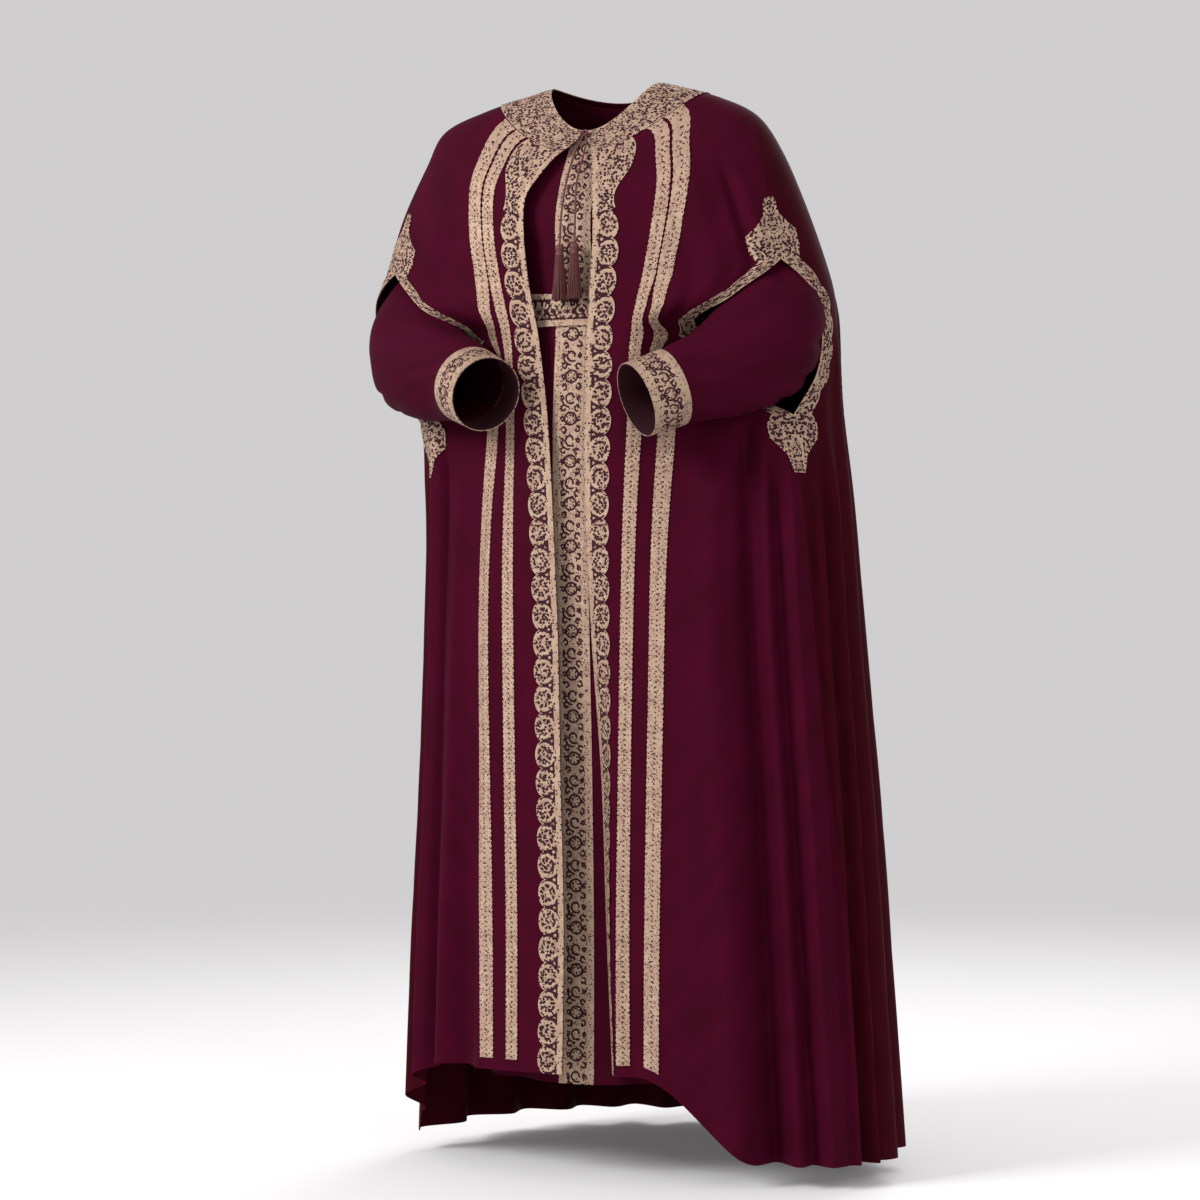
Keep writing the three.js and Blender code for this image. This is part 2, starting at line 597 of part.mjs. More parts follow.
// The trim of one side of a slit: a finial above it, a scalloped band beside it and a finial below,
// along the seam edge of a panel. inner and outer are the columns of that edge and of the trim's reach.
function slitTrim(cloth, inner, outer) {
  const outline = topFinial.map(([up, half]) => [seamRow(slitTopRow, up), half]);
  const stations = 16;
  for (let i = 1; i < stations; i++) {
    const down = i / stations;
    const wave = 18 + 5 * Math.abs(Math.sin(Math.PI * 5 * down));
    const toEnd = clamp(Math.min(down, 1 - down) / 0.12, 0, 1);
    outline.push([mix(slitTopRow, slitBottomRow, down), mix(27, wave, toEnd)]);
  }
  bottomFinial.forEach(([down, half]) => outline.push([seamRow(slitBottomRow, -down), half]));
  return stripTrim(cloth, inner, outer, outline.map(([row, half]) => {
    const edge = onPanel(cloth, row, inner).point;
    return [row, Math.min(half / edge.distanceTo(onPanel(cloth, row, outer).point), 1)];
  }), trimThickness, trimGap);
}

function dressPanel(front) {
  const rows = [0, 1, 2];
  for (let i = 0; i <= sleeveSides / 2; i++) rows.push(armholeRow((i * 360) / sleeveSides));
  rows.push(5.4, beltTopRow, beltBottomRow, 7.4, 8, 9, 10, 11, 12);
  const gap = (seamGap / 2 / 160) * (180 / Math.PI);
  return panel(
    (angle, row) => {
      const side = Math.sign(angle) || 1;
      return dressPoint(side, front ? Math.abs(angle) : 180 - Math.abs(angle), row);
    },
    rows,
    (row) => {
      const end = 90 - armholeOpening(row) - gap;
      const marks = front ? [placketHalf, placketHalf - placketBand] : [];
      const half = ringAt(dressRings, row).left;
      const inner = marks.map((x) => (Math.asin(x / half) * 180) / Math.PI);
      const start = front ? inner[0] : 0;
      const columns = front ? 5 : 6;
      const side = [...inner.slice().reverse()];
      for (let i = 1; i <= columns; i++) side.push(mix(start, end, i / columns));
      const mirrored = side.map((a) => -a).reverse();
      return front ? [...mirrored, ...side] : [...mirrored, 0, ...side];
    },
    dressRings.length - 1,
    (column) => column < 6,
  );
}

// The armhole's outline: turn is 0 at the shoulder, 180 at the underarm.
const armholeRow = (turn) => mix(armholeTopRow, armholeBottomRow, (1 - Math.cos(radians(turn))) / 2);

function armholeOpening(row) {
  const u = (row - armholeTopRow) / (armholeBottomRow - armholeTopRow);
  return u <= 0 || u >= 1 ? 0 : armholeHalf * Math.sqrt(1 - (2 * u - 1) ** 2);
}

const dressFront = dressPanel(true);
const dressBack = dressPanel(false);

function placket() {
  const first = 5; // the dress's column at the placket's edge
  const columns = [[0, 1.7], [0.9, 1.7], [1, 1.1], [2, 1.1], [2.1, 1.7], [3, 1.7]];
  return trimWall(dressFront, dressFront.rows.map((row) =>
    columns.map(([at, height]) => [row, first + at, height])));
}

// The belt: a wide tube round the waist with a raised band along each edge.
function belt() {
  const clear = 2.9; // over the placket
  const lines = [[0, 2.2], [0.2, 2.2], [0.24, 1.5], [0.7, 1.5], [0.74, 2.2], [1, 2.2]];
  const last = [dressFront, dressBack].map((cloth) => cloth.angles[0].length - 1);
  const places = [];
  for (let column = 1; column < last[0]; column++) places.push([[dressFront, column]]);
  places.push([[dressFront, last[0]], [dressBack, last[1]]]);
  for (let column = last[1] - 1; column > 0; column--) places.push([[dressBack, column]]);
  places.push([[dressBack, 0], [dressFront, 0]]);
  const shell = (raised) => lines.map(([share, height]) => places.map((shared) => {
    const sum = new THREE.Vector3();
    for (const [cloth, column] of shared) {
      const { point, normal } = onPanel(cloth, mix(beltTopRow, beltBottomRow, share), column);
      sum.add(point.addScaledVector(normal, clear + raised * height));
    }
    return sum.divideScalar(shared.length);
  }));
  return wallBetween(shell(1), shell(0), true);
}

// A section of a sleeve with its points in the bend's own directions. They run round from the inside of
// the elbow, which is the underarm above it, over the back.
function sleeveSection(sections, i, side) {
  const at = (k) => {
    const s = sections[clamp(k, 0, sections.length - 1)];
    const shift = side > 0 ? armShifts.left : armShifts.right;
    const x = s.x + s.elbow * shift.elbow + s.wrist * shift.wrist;
    const z = s.z + s.elbow * shift.elbowLift + s.wrist * shift.wristLift;
    return new THREE.Vector3(side * x, s.y, z);
  };
  const along = at(i + 1).sub(at(i - 1)).normalize();
  if (sections === sleeveSections && i === 0) along.set(side * 0.85, -0.03, -0.53).normalize();
  const bend = new THREE.Vector3(-side * 0.557, 0.716, -0.334).normalize();
  if (sections === sleeveSections) bend.lerp(new THREE.Vector3(0, 1, 0), clamp(1 - i / 4, 0, 1)).normalize();
  const outer = bend.clone().cross(along).normalize().multiplyScalar(side);
  const depth = along.clone().cross(outer).normalize();
  const { tall, deep } = sections[i];
  return Array.from({ length: sleeveSides }, (_, j) => {
    const turn = radians((j * 360) / sleeveSides);
    return at(i)
      .addScaledVector(outer, tall * Math.cos(turn))
      .addScaledVector(depth, side * deep * Math.sin(turn));
  });
}

// The sleeve: its first ring is the dress's armhole, a seam's width further out.
function sleeve(side) {
  const armhole = Array.from({ length: sleeveSides }, (_, j) => {
    const turn = (180 + (j * 360) / sleeveSides) % 360; // from the shoulder
    const cloth = turn <= 180 ? dressFront : dressBack;
    const column = side > 0 ? cloth.angles[0].length - 1 : 0;
    return onPanel(cloth, armholeRow(turn <= 180 ? turn : 360 - turn), column);
  });
  const ring = armhole.map(({ point }) => point.clone().add(new THREE.Vector3(side * (seamGap + 0.4), 0, 0)));
  const rings = [ring, ...sleeveSections.map((_, i) => sleeveSection(sleeveSections, i, side))];
  const normals = outwards(rings, gridNormals(rings, true));
  armhole.forEach(({ normal }, j) => {
    const underarm = clamp(1.5 * Math.cos(radians((j * 360) / sleeveSides)), 0, 1); // it turns off here
    normals[0][j].lerpVectors(normal, normals[0][j], underarm).normalize();
  });
  return wallBetween(rings, moved(rings, normals, -clothThickness), true);
}

// Turns the normals of a tube of rings to point out of it.
function outwards(rings, normals) {
  const middle = rings.length >> 1;
  const centre = rings[middle].reduce((sum, p) => sum.add(p), new THREE.Vector3()).divideScalar(sleeveSides);
  if (normals[middle][0].dot(rings[middle][0].clone().sub(centre)) < 0) {
    normals.forEach((line) => line.forEach((n) => n.negate()));
  }
  return normals;
}

function cuff(side) {
  const rings = cuffSections.map((_, i) => sleeveSection(cuffSections, i, side));
  const towardsHand = new THREE.Vector3(-side * 17, -18, -9).normalize();
  rings[0].forEach((point) => point.addScaledVector(towardsHand, -0.6));
  return wallBetween(rings, moved(rings, outwards(rings, gridNormals(rings, true)), -2), true);
}

// Joins closed geometries into one solid.
function joined(geometries) {
  const solids = geometries.map((geometry) => {
    for (const name of ["normal", "uv"]) geometry.deleteAttribute(name);
    const merged = mergeVertices(geometry, 1e-4);
    return new wasm.Manifold(new wasm.Mesh({
      numProp: 3,
      vertProperties: merged.getAttribute("position").array,
      triVerts: new Uint32Array(merged.index.array),
    }));
  });
  const whole = solids.reduce((sum, solid) => sum.add(solid)).getMesh();
  const geometry = new THREE.BufferGeometry()
    .setAttribute("position", new THREE.BufferAttribute(whole.vertProperties, 3))
    .setIndex(new THREE.BufferAttribute(whole.triVerts, 1));
  geometry.computeVertexNormals();
  return geometry;
}

function tieKnot() {
  const knot = new THREE.SphereGeometry(5.5, 12, 8).scale(1.25, 0.8, 0.85);
  return knot.rotateX(Math.PI / 2).translate(tie.x, tie.y, tie.z);
}

function tieCord(route) {
  const path = new THREE.CatmullRomCurve3(route.map((p) => new THREE.Vector3(...p)), false, "centripetal");
  const section = new THREE.Shape().absarc(0, 0, tie.radius, 0, 2 * Math.PI);
  return new THREE.ExtrudeGeometry(section, {
    steps: 18,
    curveSegments: 4,
    bevelEnabled: false,
    extrudePath: path,
  });
}

// A tassel hanging under the end of a cord: a bound head with separate strands fused into it.
function tasselUnder(end) {
  const { headRadius, headHeight, length, splay, rings } = tassel;
  // Radius and drop of the head, as shares of its own.
  const profile = [[0, 0], [0.45, 0.02], [0.8, 0.2], [1, 0.45], [0.85, 0.72], [0.95, 1], [0, 1]];
  const head = new THREE.LatheGeometry(
    profile.map(([r, down]) => new THREE.Vector2(r * headRadius, -down * headHeight)).reverse(), 12,
  ).rotateX(Math.PI / 2);
  const parts = [head];
  for (const [radius, count] of rings) {
    for (let i = 0; i < count; i++) {
      const turn = (i / count) * 2 * Math.PI + radius;
      const strandLength = length - headHeight + 3 + 2 * Math.sin(5 * turn + radius);
      const strand = new THREE.CylinderGeometry(0.95, 1.05, strandLength, 3).rotateX(Math.PI / 2);
      const lean = Math.atan((splay * radius) / 4.4 / strandLength);
      strand.translate(0, 0, -strandLength / 2).rotateY(-lean).rotateZ(turn);
      parts.push(strand.translate(radius * Math.cos(turn), radius * Math.sin(turn), -headHeight + 3));
    }
  }
  return joined(parts).translate(end[0], end[1], end[2] - seamGap);
}

const cloth = (color) => new THREE.MeshStandardMaterial({ color, roughness: 0.85, metalness: 0 });
const capeCloth = cloth(0x4a0a24);
const dressCloth = cloth(0x43081f);
const goldLace = new THREE.MeshStandardMaterial({ color: 0xb89a84, roughness: 0.55, metalness: 0.25 });
const tieSilk = cloth(0x5a2b26);

const abaya = new THREE.Group();

function add(name, geometry, material) {
  const mesh = new THREE.Mesh(geometry, material.clone());
  mesh.name = name;
  abaya.add(mesh);
}

add("dress_front", clothWall(dressFront), dressCloth);
add("dress_back", clothWall(dressBack), dressCloth);
add("dress_placket", placket(), goldLace);
add("belt", belt(), goldLace);
add("cape_back", clothWall(capeRear), capeCloth);
add("cape_yoke_back", yoke(capeRear), goldLace);
for (const [hand, side] of [["left", 1], ["right", -1]]) {
  add(`dress_sleeve_${hand}`, sleeve(side), dressCloth);
  add(`dress_cuff_${hand}`, cuff(side), goldLace);
  add(`cape_front_${hand}`, clothWall(frontOf(side)), capeCloth);
  add(`cape_yoke_${hand}`, yoke(frontOf(side)), goldLace);
  add(`cape_scallops_${hand}`, scallopTrim(side), goldLace);
  add(`cape_braid_inner_${hand}`, braid(side, 2), goldLace);
  add(`cape_braid_outer_${hand}`, braid(side, 4), goldLace);
  const frontEnd = capeLeft.angles[0].length - 1;
  const backEnd = capeRear.angles[0].length - 1;
  add(`slit_trim_front_${hand}`, slitTrim(frontOf(side), frontEnd, frontEnd - 1), goldLace);
  const [edge, reach] = side > 0 ? [0, 1] : [backEnd, backEnd - 1];
  add(`slit_trim_back_${hand}`, slitTrim(capeRear, edge, reach), goldLace);
  add(`tie_cord_${hand}`, tieCord(tieRoutes[hand]), tieSilk);
  add(`tie_tassel_${hand}`, tasselUnder(tieRoutes[hand].at(-1)), tieSilk);
}
add("tie_knot", tieKnot(), tieSilk);

export default abaya;
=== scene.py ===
import math

import bpy
import numpy as np
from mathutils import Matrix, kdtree


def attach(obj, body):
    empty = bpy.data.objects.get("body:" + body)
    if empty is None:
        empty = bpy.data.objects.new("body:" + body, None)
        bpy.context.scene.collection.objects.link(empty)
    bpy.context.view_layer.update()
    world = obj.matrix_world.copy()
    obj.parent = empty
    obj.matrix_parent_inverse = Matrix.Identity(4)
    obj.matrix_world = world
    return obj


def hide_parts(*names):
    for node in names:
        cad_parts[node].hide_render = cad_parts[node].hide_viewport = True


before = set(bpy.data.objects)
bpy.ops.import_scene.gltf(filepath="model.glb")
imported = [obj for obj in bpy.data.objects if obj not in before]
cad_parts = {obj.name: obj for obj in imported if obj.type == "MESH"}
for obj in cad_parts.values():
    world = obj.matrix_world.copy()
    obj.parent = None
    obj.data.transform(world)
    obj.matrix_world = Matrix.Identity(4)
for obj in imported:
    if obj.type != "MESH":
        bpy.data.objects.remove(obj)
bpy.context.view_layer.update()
scene = bpy.context.scene
hands = {1: "left", -1: "right"}  # the wearer's sides, by the sign of x

# camera: level, turned to the wearer's left, a little aside of the middle
shot = {"azimuth": 22.0, "distance": 4.5, "aside": -0.0108, "height": -0.693, "lens": 99.7}


def addCamera():
    turn = math.radians(shot["azimuth"])
    data = bpy.data.cameras.new("camera")
    data.lens = shot["lens"]
    data.sensor_width = 36
    camera = bpy.data.objects.new("camera", data)
    scene.collection.objects.link(camera)
    camera.location = (
        shot["distance"] * math.sin(turn) + shot["aside"] * math.cos(turn),
        -shot["distance"] * math.cos(turn) + shot["aside"] * math.sin(turn),
        shot["height"],
    )
    camera.rotation_euler = (math.radians(90), 0, turn)
    scene.camera = camera


addCamera()
print("camera placed")


# lengths are millimetres until a mesh is made
def blend(a, b, t):
    return a + (b - a) * t


def smooth(x, low, high):
    t = np.clip((x - low) / (high - low), 0, 1)
    return t * t * (3 - 2 * t)


# a smooth reading of a column of a table at rows that may be fractions
def tableAt(column, row):
    p = np.asarray(column, float)
    last = len(p) - 1
    row = np.asarray(row, float)
    k = np.clip(np.floor(row).astype(int), 0, last - 1)
    u = np.clip(row - k, 0, 1)
    u = u.reshape(u.shape + (1,) * (p.ndim - 1))
    first = (k == 0).reshape(u.shape)
    final = (k + 1 == last).reshape(u.shape)
    p0, p1, p2, p3 = p[np.maximum(k - 1, 0)], p[k], p[k + 1], p[np.minimum(k + 2, last)]
    slopeIn = np.where(first, p2 - p1, (p2 - p0) / 2)
    slopeOut = np.where(final, p2 - p1, (p3 - p1) / 2)
    cubic = 2 * (p1 - p2) + slopeIn + slopeOut
    return ((cubic * u + (3 * (p2 - p1) - 2 * slopeIn - slopeOut)) * u + slopeIn) * u + p1


def closedRing(grid):  # repeats the first column of a grid after its last
    return np.concatenate([grid, grid[:, :1]], 1)


# an object for a mesh, left selected and active
def newPiece(name, mesh):
    piece = bpy.data.objects.new(name, mesh)
    scene.collection.objects.link(piece)
    bpy.ops.object.select_all(action="DESELECT")
    piece.select_set(True)
    bpy.context.view_layer.objects.active = piece
    return piece


# The wall between two grids of points, closed at its rims. The inner grid keeps only some of the columns
# where keep says so. uv is in millimetres, and field is the thread's value at each outer point.
def wallMesh(name, outer, inner, uv, keep=None, wrapped=False, field=None):
    rows, columns = outer.shape[:2]
    keep = np.arange(columns) if keep is None else keep
    inner = inner[:, keep]
    outerIds = np.arange(rows * columns).reshape(rows, columns)
    innerIds = rows * columns + np.arange(rows * len(keep)).reshape(rows, len(keep))
    if wrapped:
        outerIds, innerIds = closedRing(outerIds), closedRing(innerIds)
        keep = np.append(keep, columns)
    innerUv = uv[:, keep]
    outerUvIds = np.arange(uv.shape[0] * uv.shape[1]).reshape(uv.shape[:2])
    innerUvIds = outerUvIds.size + np.arange(innerUv.shape[0] * innerUv.shape[1]).reshape(innerUv.shape[:2])

    def quads(o, i):
        sheets = [(o[:-1, :-1], o[1:, :-1], o[1:, 1:], o[:-1, 1:]),
                  (i[:-1, :-1], i[:-1, 1:], i[1:, 1:], i[1:, :-1])]
        if not wrapped:
            sheets += [(o[:-1, 0], i[:-1, 0], i[1:, 0], o[1:, 0]),
                       (o[:-1, -1], o[1:, -1], i[1:, -1], i[:-1, -1])]
        return np.concatenate([np.stack(sheet, -1).reshape(-1, 4) for sheet in sheets])

    def rims(o, i):  # one face for each stretch of the inner grid's first and last rows
        found = []
        for s in range(len(keep) - 1):
            a, b = keep[s], keep[s + 1]
            found.append(list(o[0, a : b + 1]) + [i[0, s + 1], i[0, s]])
            found.append(list(o[-1, a : b + 1][::-1]) + [i[-1, s], i[-1, s + 1]])
        return found

    points = np.concatenate([outer.reshape(-1, 3), inner.reshape(-1, 3)]) * 0.001
    faces, corners = quads(outerIds, innerIds), quads(outerUvIds, innerUvIds)
    rimFaces, rimCorners = rims(outerIds, innerIds), rims(outerUvIds, innerUvIds)
    a, b, c, d = (points[faces[:, n]] for n in range(4))
    if (a * (np.cross(b, c) + np.cross(c, d))).sum() < 0:  # a volume below zero: the faces look inwards
        faces, corners = faces[:, ::-1], corners[:, ::-1]
        rimFaces, rimCorners = [f[::-1] for f in rimFaces], [f[::-1] for f in rimCorners]
    sizes = np.concatenate([np.full(len(faces), 4), [len(f) for f in rimFaces]]).astype(np.int32)
    loops = np.concatenate([faces.ravel(), *rimFaces]).astype(np.int32)
    places = np.concatenate([corners.ravel(), *rimCorners]).astype(np.int32)
    starts = np.concatenate([[0], np.cumsum(sizes)[:-1]]).astype(np.int32)
    mesh = bpy.data.meshes.new(name)
    mesh.vertices.add(len(points))
    mesh.vertices.foreach_set("co", points.astype(np.float32).ravel())
    mesh.loops.add(len(loops))
    mesh.loops.foreach_set("vertex_index", loops)
    mesh.polygons.add(len(sizes))
    mesh.polygons.foreach_set("loop_start", starts)
    mesh.polygons.foreach_set("loop_total", sizes)
    layer = mesh.uv_layers.new(name="cloth")
    flat = np.concatenate([uv.reshape(-1, 2), innerUv.reshape(-1, 2)])[places] * 0.01
    layer.data.foreach_set("uv", flat.astype(np.float32).ravel())
    if field is not None:  # well below zero on the inner side, so no thread shows there
        values = np.concatenate([field.ravel(), np.full(len(points) - field.size, -2.0)])
        attribute = mesh.attributes.new("thread", "FLOAT", "POINT")
        attribute.data.foreach_set("value", values.astype(np.float32))
    mesh.update(calc_edges=True)
    mesh.validate()
    piece = newPiece(name, mesh)
    bpy.ops.object.shade_smooth_by_angle(angle=math.radians(62))
    return piece


# outward normals of a surface given as a function of two parameters
def normalsOf(surface, u, v, du=0.05, dv=0.02):
    across = surface(u + du, v) - surface(u - du, v)
    down = surface(u, v + dv) - surface(u, v - dv)
    normal = np.cross(down, across)
    normal /= np.maximum(np.linalg.norm(normal, axis=-1, keepdims=True), 1e-9)
    facing = (normal[..., :2] * surface(u, v)[..., :2]).sum()
    return normal if facing > 0 else -normal


# normals of a grid of points, turned away from the middle of each row
def gridNormals(points, wrapped=False):
    across = np.roll(points, -1, 1) - np.roll(points, 1, 1) if wrapped else np.gradient(points, axis=1)
    normal = np.cross(across, np.gradient(points, axis=0))
    normal /= np.linalg.norm(normal, axis=-1, keepdims=True)
    facing = (normal * (points - points.mean(1, keepdims=True))).sum()
    return normal if facing > 0 else -normal


def finish(piece, node, material):
    piece.data.materials.append(material)
    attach(piece, "root")
    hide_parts(node)
    return piece


# gives a node's input a value, or links it to another node's output
def feed(tree, socket, value):
    if isinstance(value, bpy.types.NodeSocket):
        tree.links.new(value, socket)
    else:
        socket.default_value = value


def addNode(tree, kind, values=(), **settings):
    node = tree.nodes.new(kind)
    for name, value in settings.items():
        setattr(node, name, value)
    for name, value in dict(values).items():
        feed(tree, node.inputs[name], value)
    return node


def mathNode(tree, operation, *values, clamp=False):
    node = addNode(tree, "ShaderNodeMath", dict(enumerate(values)), operation=operation, use_clamp=clamp)
    return node.outputs[0]


def mixColours(tree, factor, first, second):
    colours = [(*c, 1) if isinstance(c, tuple) else c for c in (first, second)]
    values = {0: factor, 6: colours[0], 7: colours[1]}  # the inputs that a mix of colours uses
    return addNode(tree, "ShaderNodeMix", values, data_type="RGBA").outputs[2]


def mapRange(tree, value, limits, **settings):
    return addNode(tree, "ShaderNodeMapRange", {"Value": value, **limits}, **settings).outputs[0]


def noise(tree, vector, scale, detail, roughness=0.5):
    values = {"Vector": vector, "Scale": scale, "Detail": detail, "Roughness": roughness}
    return addNode(tree, "ShaderNodeTexNoise", values).outputs["Fac"]


def ripple(tree, value):  # rises and falls once for each whole number
    return mathNode(tree, "ABSOLUTE", mathNode(tree, "SINE", mathNode(tree, "MULTIPLY", value, math.pi)))


# a node group with a vector, named numbers and named results
def newGroup(name, numbers, results):
    group = bpy.data.node_groups.new(name, "ShaderNodeTree")
    group.interface.new_socket("Vector", in_out="INPUT", socket_type="NodeSocketVector")
    for label, value in numbers.items():
        socket = group.interface.new_socket(label, in_out="INPUT", socket_type="NodeSocketFloat")
        socket.default_value = value
    for label in results:
        group.interface.new_socket(label, in_out="OUTPUT", socket_type="NodeSocketFloat")
    given, made = group.nodes.new("NodeGroupInput"), group.nodes.new("NodeGroupOutput")
    return group, given.outputs, made.inputs


# crossing threads of a woven cloth, as a height, with a slow drift of its shade
def weaveGroup():
    group, given, made = newGroup("weave", {"Threads": 90.0, "Crepe": 0.5}, ["Height", "Shade"])
    split = addNode(group, "ShaderNodeSeparateXYZ", {"Vector": given["Vector"]})
    places = [mathNode(group, "MULTIPLY", split.outputs[axis], given["Threads"]) for axis in "XY"]
    waves = [ripple(group, place) for place in places]
    threads = mathNode(group, "MULTIPLY", mathNode(group, "MAXIMUM", *waves), 0.5)
    crepe = mathNode(group, "MULTIPLY", noise(group, given["Vector"], 55.0, 3.0, 0.6), given["Crepe"])
    feed(group, made["Height"], mathNode(group, "ADD", threads, crepe))
    feed(group, made["Shade"], noise(group, given["Vector"], 1.7, 2.0))
    return group


# where thread covers the ground, from the piece's own field, with a frayed edge, small eyelets and the
# thread's lay
def stitchGroup():
    numbers = {"Field": 0.0, "Fray": 0.5, "Lay": 80.0, "Cell": 28.0, "Eyelet": 0.0}
    group, given, made = newGroup("stitches", numbers, ["Mask", "Height", "Tone"])
    fine = noise(group, given["Vector"], 130.0, 2.0)
    jitter = mathNode(group, "MULTIPLY", mathNode(group, "SUBTRACT", fine, 0.5), given["Fray"])
    cells = addNode(group, "ShaderNodeTexVoronoi",
                    {"Vector": given["Vector"], "Scale": given["Cell"], "Randomness": 0.8})
    eyelet = mathNode(group, "SUBTRACT", given["Eyelet"], cells.outputs["Distance"])
    pierced = mathNode(group, "MULTIPLY", mathNode(group, "MAXIMUM", eyelet, 0.0), -14.0)
    edge = mathNode(group, "ADD", mathNode(group, "ADD", given["Field"], jitter), pierced)
    mask = mathNode(group, "ADD", mathNode(group, "MULTIPLY", edge, 3.0), 0.5, clamp=True)
    split = addNode(group, "ShaderNodeSeparateXYZ", {"Vector": given["Vector"]})
    slant = mathNode(group, "ADD", split.outputs["Y"], mathNode(group, "MULTIPLY", split.outputs["X"], 0.6))
    lay = mathNode(group, "MULTIPLY", slant, given["Lay"])
    bent = mathNode(group, "ADD", lay, mathNode(group, "MULTIPLY", fine, 1.4))
    feed(group, made["Mask"], mask)
    feed(group, made["Height"], mathNode(group, "MULTIPLY", ripple(group, bent), mask))
    feed(group, made["Tone"], noise(group, given["Vector"], 6.0, 3.0, 0.6))
    return group


weave = weaveGroup()
stitches = stitchGroup()


def newMaterial(name, sockets):
    material = bpy.data.materials.new(name)
    material.use_nodes = True
    tree = material.node_tree
    shader = tree.nodes["Principled BSDF"]
    for label, value in sockets.items():
        shader.inputs[label].default_value = value
    return material, tree, shader


# links a colour, a roughness and a height to a material's shader
def coat(tree, shader, colour, rough, height, strength, distance):
    bump = addNode(tree, "ShaderNodeBump", {"Height": height, "Strength": strength, "Distance": distance})
    for label, value in (("Base Color", colour), ("Roughness", rough), ("Normal", bump.outputs["Normal"])):
        tree.links.new(value, shader.inputs[label])


def clothMaterial(name, look):
    light, deep, roughness, tint = look
    material, tree, shader = newMaterial(name, {"Sheen Weight": 0.01, "Sheen Roughness": 0.45,
                                                "Sheen Tint": (*tint, 1), "Specular IOR Level": 0.04})
    uv = addNode(tree, "ShaderNodeUVMap", uv_map="cloth").outputs["UV"]
    woven = addNode(tree, "ShaderNodeGroup", node_tree=weave)
    feed(tree, woven.inputs["Vector"], uv)
    shade = woven.outputs["Shade"]
    colour = mixColours(tree, mapRange(tree, shade, {"From Min": 0.3, "From Max": 0.7}), deep, light)
    rough = mapRange(tree, shade, {"To Min": roughness - 0.06, "To Max": roughness + 0.06})
    coat(tree, shader, colour, rough, woven.outputs["Height"], 0.35, 0.0003)
    return material


goldColours = {"gold": (0.53, 0.375, 0.265), "rose": (0.41, 0.255, 0.185), "ground": (0.030, 0.0030, 0.0080),
               "braidGround": (0.060, 0.018, 0.018)}


def laceMaterial(name, ground, **sewing):
    material, tree, shader = newMaterial(name, {"Specular IOR Level": 0.25})
    uv = addNode(tree, "ShaderNodeUVMap", uv_map="cloth").outputs["UV"]
    field = addNode(tree, "ShaderNodeAttribute", attribute_name="thread").outputs["Fac"]
    sewn = addNode(tree, "ShaderNodeGroup", node_tree=stitches)
    for label, value in {"Vector": uv, "Field": field, **sewing}.items():
        feed(tree, sewn.inputs[label], value)
    mask, height = sewn.outputs["Mask"], sewn.outputs["Height"]
    gold, rose = goldColours["gold"], goldColours["rose"]
    tone = mapRange(tree, sewn.outputs["Tone"], {"From Min": 0.35, "From Max": 0.65})
    # painted shade: where the thread's lay dips low, its colour is mixed up to 55% towards a dark rose, for
    # the shade that falls between the laid threads
    groove = mapRange(tree, height, {"To Min": 0.55, "To Max": 0.0})
    thread = mixColours(tree, groove, mixColours(tree, tone, rose, gold), tuple(0.35 * c for c in rose))
    rough = mapRange(tree, mask, {"To Min": 0.85, "To Max": 0.48})
    coat(tree, shader, mixColours(tree, mask, goldColours[ground], thread), rough, height, 0.6, 0.0004)
    feed(tree, shader.inputs["Metallic"], mathNode(tree, "MULTIPLY", mask, 0.22))
    return material


crepe = {  # light and deep colour, roughness, tint of the sheen
    "cape": ((0.050, 0.0010, 0.0108), (0.037, 0.0007, 0.0078), 0.78, (0.9, 0.25, 0.4)),
    # the back is the cape's own cloth, coloured redder and a little darker: painted light, for the look of
    # light through its single sheer layer
    "back": ((0.040, 0.0009, 0.0058), (0.029, 0.0007, 0.0040), 0.78, (0.9, 0.25, 0.3)),
    "dress": ((0.048, 0.0010, 0.0108), (0.036, 0.0007, 0.0078), 0.76, (0.9, 0.25, 0.4)),
}
capeCrepe, backCrepePaintedSheerLight, dressCrepe = (clothMaterial(f"{part}Crepe", look) for part, look in crepe.items())
goldLace = laceMaterial("goldLace", "ground", Cell=25.0, Eyelet=0.50)
goldBraid = laceMaterial("goldBraid", "braidGround", Lay=60.0, Cell=34.0, Eyelet=0.40)
goldScroll = laceMaterial("goldScroll", "ground", Fray=0.4, Cell=30.0, Eyelet=0.43)
print("materials made")


# the tie: a knot at the neck, two cords and two tassels
tie = {"x": 1.0, "y": -85.5, "z": -72.0, "radius": 1.5, "plies": 3, "turnsPerMetre": 160}
tieRoutes = {  # metres, from the knot to the tassel's head
    "left": [(0.0033, -0.0873, -0.0762), (0.0054, -0.090, -0.083), (0.007, -0.101, -0.098),
             (0.007, -0.129, -0.145), (0.008, -0.136, -0.185), (0.008, -0.1385, -0.222)],
    "right": [(-0.0013, -0.0873, -0.0762), (-0.0034, -0.090, -0.083), (-0.006, -0.102, -0.099),
              (-0.009, -0.129, -0.148), (-0.012, -0.136, -0.188), (-0.013, -0.1385, -0.224)],
}


